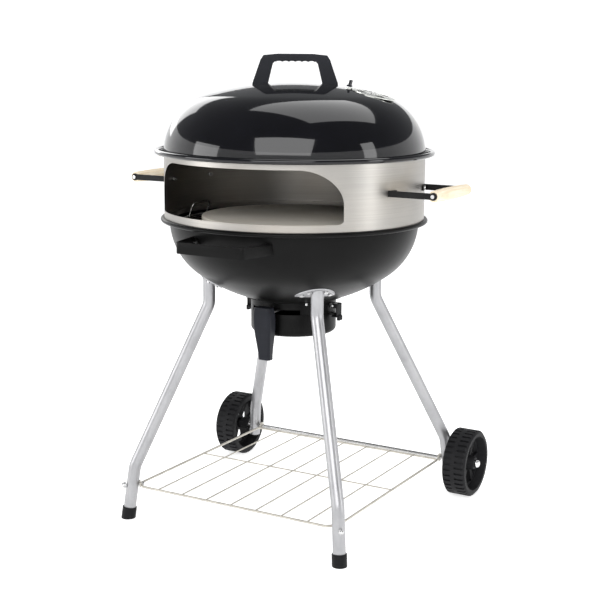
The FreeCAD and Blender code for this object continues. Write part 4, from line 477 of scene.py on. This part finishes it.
def smooth_lid():
    """The lid: crown, bend, rolled lip and the skirt that drops inside the ring."""
    low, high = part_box("lid")
    lip = high.x
    base = low.z + LID_SKIRT_DEPTH
    side_z = base + LID_SIDE_RISE
    outer, _, _ = dome_profile(LID_SIDE, LID_KNUCKLE, side_z, high.z, 0.0)
    inner, _, _ = dome_profile(LID_SIDE, LID_KNUCKLE, side_z, high.z, SHEET_WALL)
    bead = (lip - LID_BEAD, base + LID_BEAD)
    start = math.degrees(math.asin((SHEET_WALL - LID_BEAD) / LID_BEAD)) + 180.0
    skirt = LID_SIDE - LID_SKIRT_INSET + SKIRT_FIT
    profile = np.vstack([
        outer[::-1],
        [(LID_SIDE, base + SHEET_WALL)],
        arc(bead, LID_BEAD, 360.0 - start, -90.0, 25),
        [(skirt, base), (skirt, low.z), (skirt - SHEET_WALL, low.z), (skirt - SHEET_WALL, base + SHEET_WALL),
         (LID_SIDE - SHEET_WALL, base + SHEET_WALL)],
        inner,
    ])
    lid = drilled(turned_shell("lid_shell", profile), vent_cutters())
    return show_as(lid, "lid")


def slot_cutter(turn):
    """One ash slot: a ring's sector cut straight down."""
    half = math.degrees(ASH_SLOT_HALF)
    far = arc((0.0, 0.0), ASH_SLOT_FAR, turn - half, turn + half, 13)
    near = arc((0.0, 0.0), ASH_SLOT_NEAR / math.cos(ASH_SLOT_HALF) ** 0.5, turn + half, turn - half, 7)
    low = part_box("bowl")[0].z
    return prism(np.vstack([far, near]), low - 0.01, low + 0.03, Matrix.Identity(4))


def smooth_bowl():
    """The bowl: rolled lip, side, bend and bottom, with its three ash slots."""
    low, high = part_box("bowl")
    lip, rim = high.x, high.z
    side_z = rim - BOWL_STRAIGHT
    outer, _, _ = dome_profile(BOWL_SIDE, BOWL_KNUCKLE, side_z, low.z, 0.0)
    inner, _, _ = dome_profile(BOWL_SIDE, BOWL_KNUCKLE, side_z, low.z, SHEET_WALL)
    bead = (lip - BOWL_BEAD, rim - BOWL_BEAD)
    start = math.degrees(math.asin((BOWL_BEAD - SHEET_WALL) / BOWL_BEAD))
    profile = np.vstack([
        outer[::-1],
        [(BOWL_SIDE, rim - SHEET_WALL)],
        arc(bead, BOWL_BEAD, -180.0 - start, 90.0, 25),
        [(BOWL_SIDE - SHEET_WALL, rim)],
        inner,
    ])
    bowl = drilled(turned_shell("bowl_shell", profile), [slot_cutter(turn) for turn in ASH_SLOT_TURNS])
    return show_as(bowl, "bowl")


def dress(node, sharp=32.0, rounding=0.0):
    """Finishes a CAD node: joins its loose triangles, rounds its edges and shades it smooth."""
    shown = NODES[node]
    shown.data.polygons.foreach_set("use_smooth", np.ones(len(shown.data.polygons), bool))
    weld = shown.modifiers.new("weld", "WELD")
    weld.merge_threshold = 2e-6
    if rounding:
        soft = shown.modifiers.new("rounding", "BEVEL")
        soft.width = rounding
        soft.segments = 2
        soft.limit_method = "ANGLE"
        soft.angle_limit = math.radians(sharp)
    split = shown.modifiers.new("split", "EDGE_SPLIT")
    split.split_angle = math.radians(sharp)
    shown.data.materials.clear()
    shown.data.materials.append(FINISHES[finish_of(node)])


# ---- stage ---------------------------------------------------------------------------------

CAMERA_PLACE = (1.31728, -2.26689, 0.95951)
CAMERA_TURN = 29.867
CAMERA_DIP = 10.956
CAMERA_ROLL = -0.457
LENS = 75.655


def stand_camera():
    """The camera at the front right, a little above the lid's rim, looking slightly down."""
    data = bpy.data.cameras.new("camera")
    data.lens = LENS
    data.sensor_width = 36.0
    data.clip_end = 50.0
    camera = bpy.data.objects.new("camera", data)
    turn, dip, roll = (math.radians(value) for value in (CAMERA_TURN, CAMERA_DIP, CAMERA_ROLL))
    aim = Matrix.Rotation(turn, 4, "Z") @ Matrix.Rotation(math.pi / 2 - dip, 4, "X")
    camera.matrix_world = Matrix.Translation(CAMERA_PLACE) @ aim @ Matrix.Rotation(-roll, 4, "Z")
    bpy.context.scene.collection.objects.link(camera)
    bpy.context.scene.camera = camera


def lay_floor():
    """A wide pale floor that curves up all round into a low backdrop.

    The profile runs out flat, then follows a quarter circle up; it is carried round the vertical
    axis: point (i, j) is (radius_j cos a_i, radius_j sin a_i, height_j).
    """
    flat, bend, steps, rings = 6.0, 3.0, 96, 12
    rise = arc((flat, bend), bend, -90.0, 0.0, 17)
    radius = np.concatenate([np.linspace(0.05, flat, rings, endpoint=False), rise[:, 0]])
    height = np.concatenate([np.zeros(rings), rise[:, 1]])
    angles = np.linspace(0.0, 2.0 * math.pi, steps, endpoint=False)
    places = np.stack([
        np.outer(np.cos(angles), radius), np.outer(np.sin(angles), radius), np.tile(height, (steps, 1)),
    ], axis=-1).reshape(-1, 3)
    count = len(radius)
    turn, out = (grid.ravel() for grid in np.meshgrid(np.arange(steps), np.arange(count - 1), indexing="ij"))
    after = (turn + 1) % steps
    here, there = turn * count + out, after * count + out
    faces = np.column_stack([here, here + 1, there + 1, there])
    middle = [[step * count for step in range(steps)]]
    mesh = bpy.data.meshes.new("floor")
    mesh.from_pydata(places.tolist(), [], faces.tolist() + middle)
    mesh.polygons.foreach_set("use_smooth", np.ones(len(mesh.polygons), bool))
    mesh.materials.append(floor_paint())
    floor = bpy.data.objects.new("floor", mesh)
    bpy.context.scene.collection.objects.link(floor)


def soft_light(name, place, aim, size, power, tall=None):
    """A rectangular soft light that faces its aim."""
    data = bpy.data.lights.new(name, "AREA")
    data.shape = "RECTANGLE"
    data.size = size
    data.size_y = tall or size
    data.energy = power
    light = bpy.data.objects.new(name, data)
    facing = (Vector(aim) - Vector(place)).to_track_quat("-Z", "Y")
    light.matrix_world = Matrix.Translation(place) @ facing.to_matrix().to_4x4()
    bpy.context.scene.collection.objects.link(light)


def light_stage():
    """Dim even surroundings, one big soft light beside the camera, one overhead, weaker ones round."""
    world = bpy.data.worlds.new("surroundings")
    world.use_nodes = True
    sky = world.node_tree.nodes["Background"]
    sky.inputs["Color"].default_value = (0.95, 0.97, 1.0, 1.0)
    sky.inputs["Strength"].default_value = 0.22
    bpy.context.scene.world = world
    middle = (0.0, 0.0, 0.6)
    soft_light("key", (1.2, -3.2, 2.3), middle, 3.2, 85.0, 2.0)
    soft_light("side", (-2.9, -2.4, 1.2), middle, 1.8, 30.0, 1.4)
    soft_light("top", (0.3, 0.9, 3.8), middle, 3.0, 70.0)
    soft_light("rim", (-2.8, 1.8, 1.9), middle, 1.6, 20.0)
    soft_light("right", (3.2, 0.3, 1.2), middle, 0.7, 16.0, 1.8)


# ---- assembly ------------------------------------------------------------------------------

ROUNDED = {
    "bowl_handle": 0.0006, "lever_grip": 0.0010, "lever_arm": 0.0004, "pot_latch_left": 0.0007,
    "pot_latch_right": 0.0007, "latch_brackets": 0.0005, "damper_knob": 0.0008,
    "foot_cap_front_left": 0.0008, "foot_cap_front_right": 0.0008, "ash_pot": 0.0004,
}


def dress_all():
    """Every CAD node that is shown as it is."""
    for node in NODES:
        if node not in ("lid", "bowl"):
            dress(node, rounding=ROUNDED.get(node, 0.0))


dress_all()
smooth_lid()
smooth_bowl()
lay_floor()
light_stage()
stand_camera()
bpy.context.scene.view_settings.view_transform = "Standard"
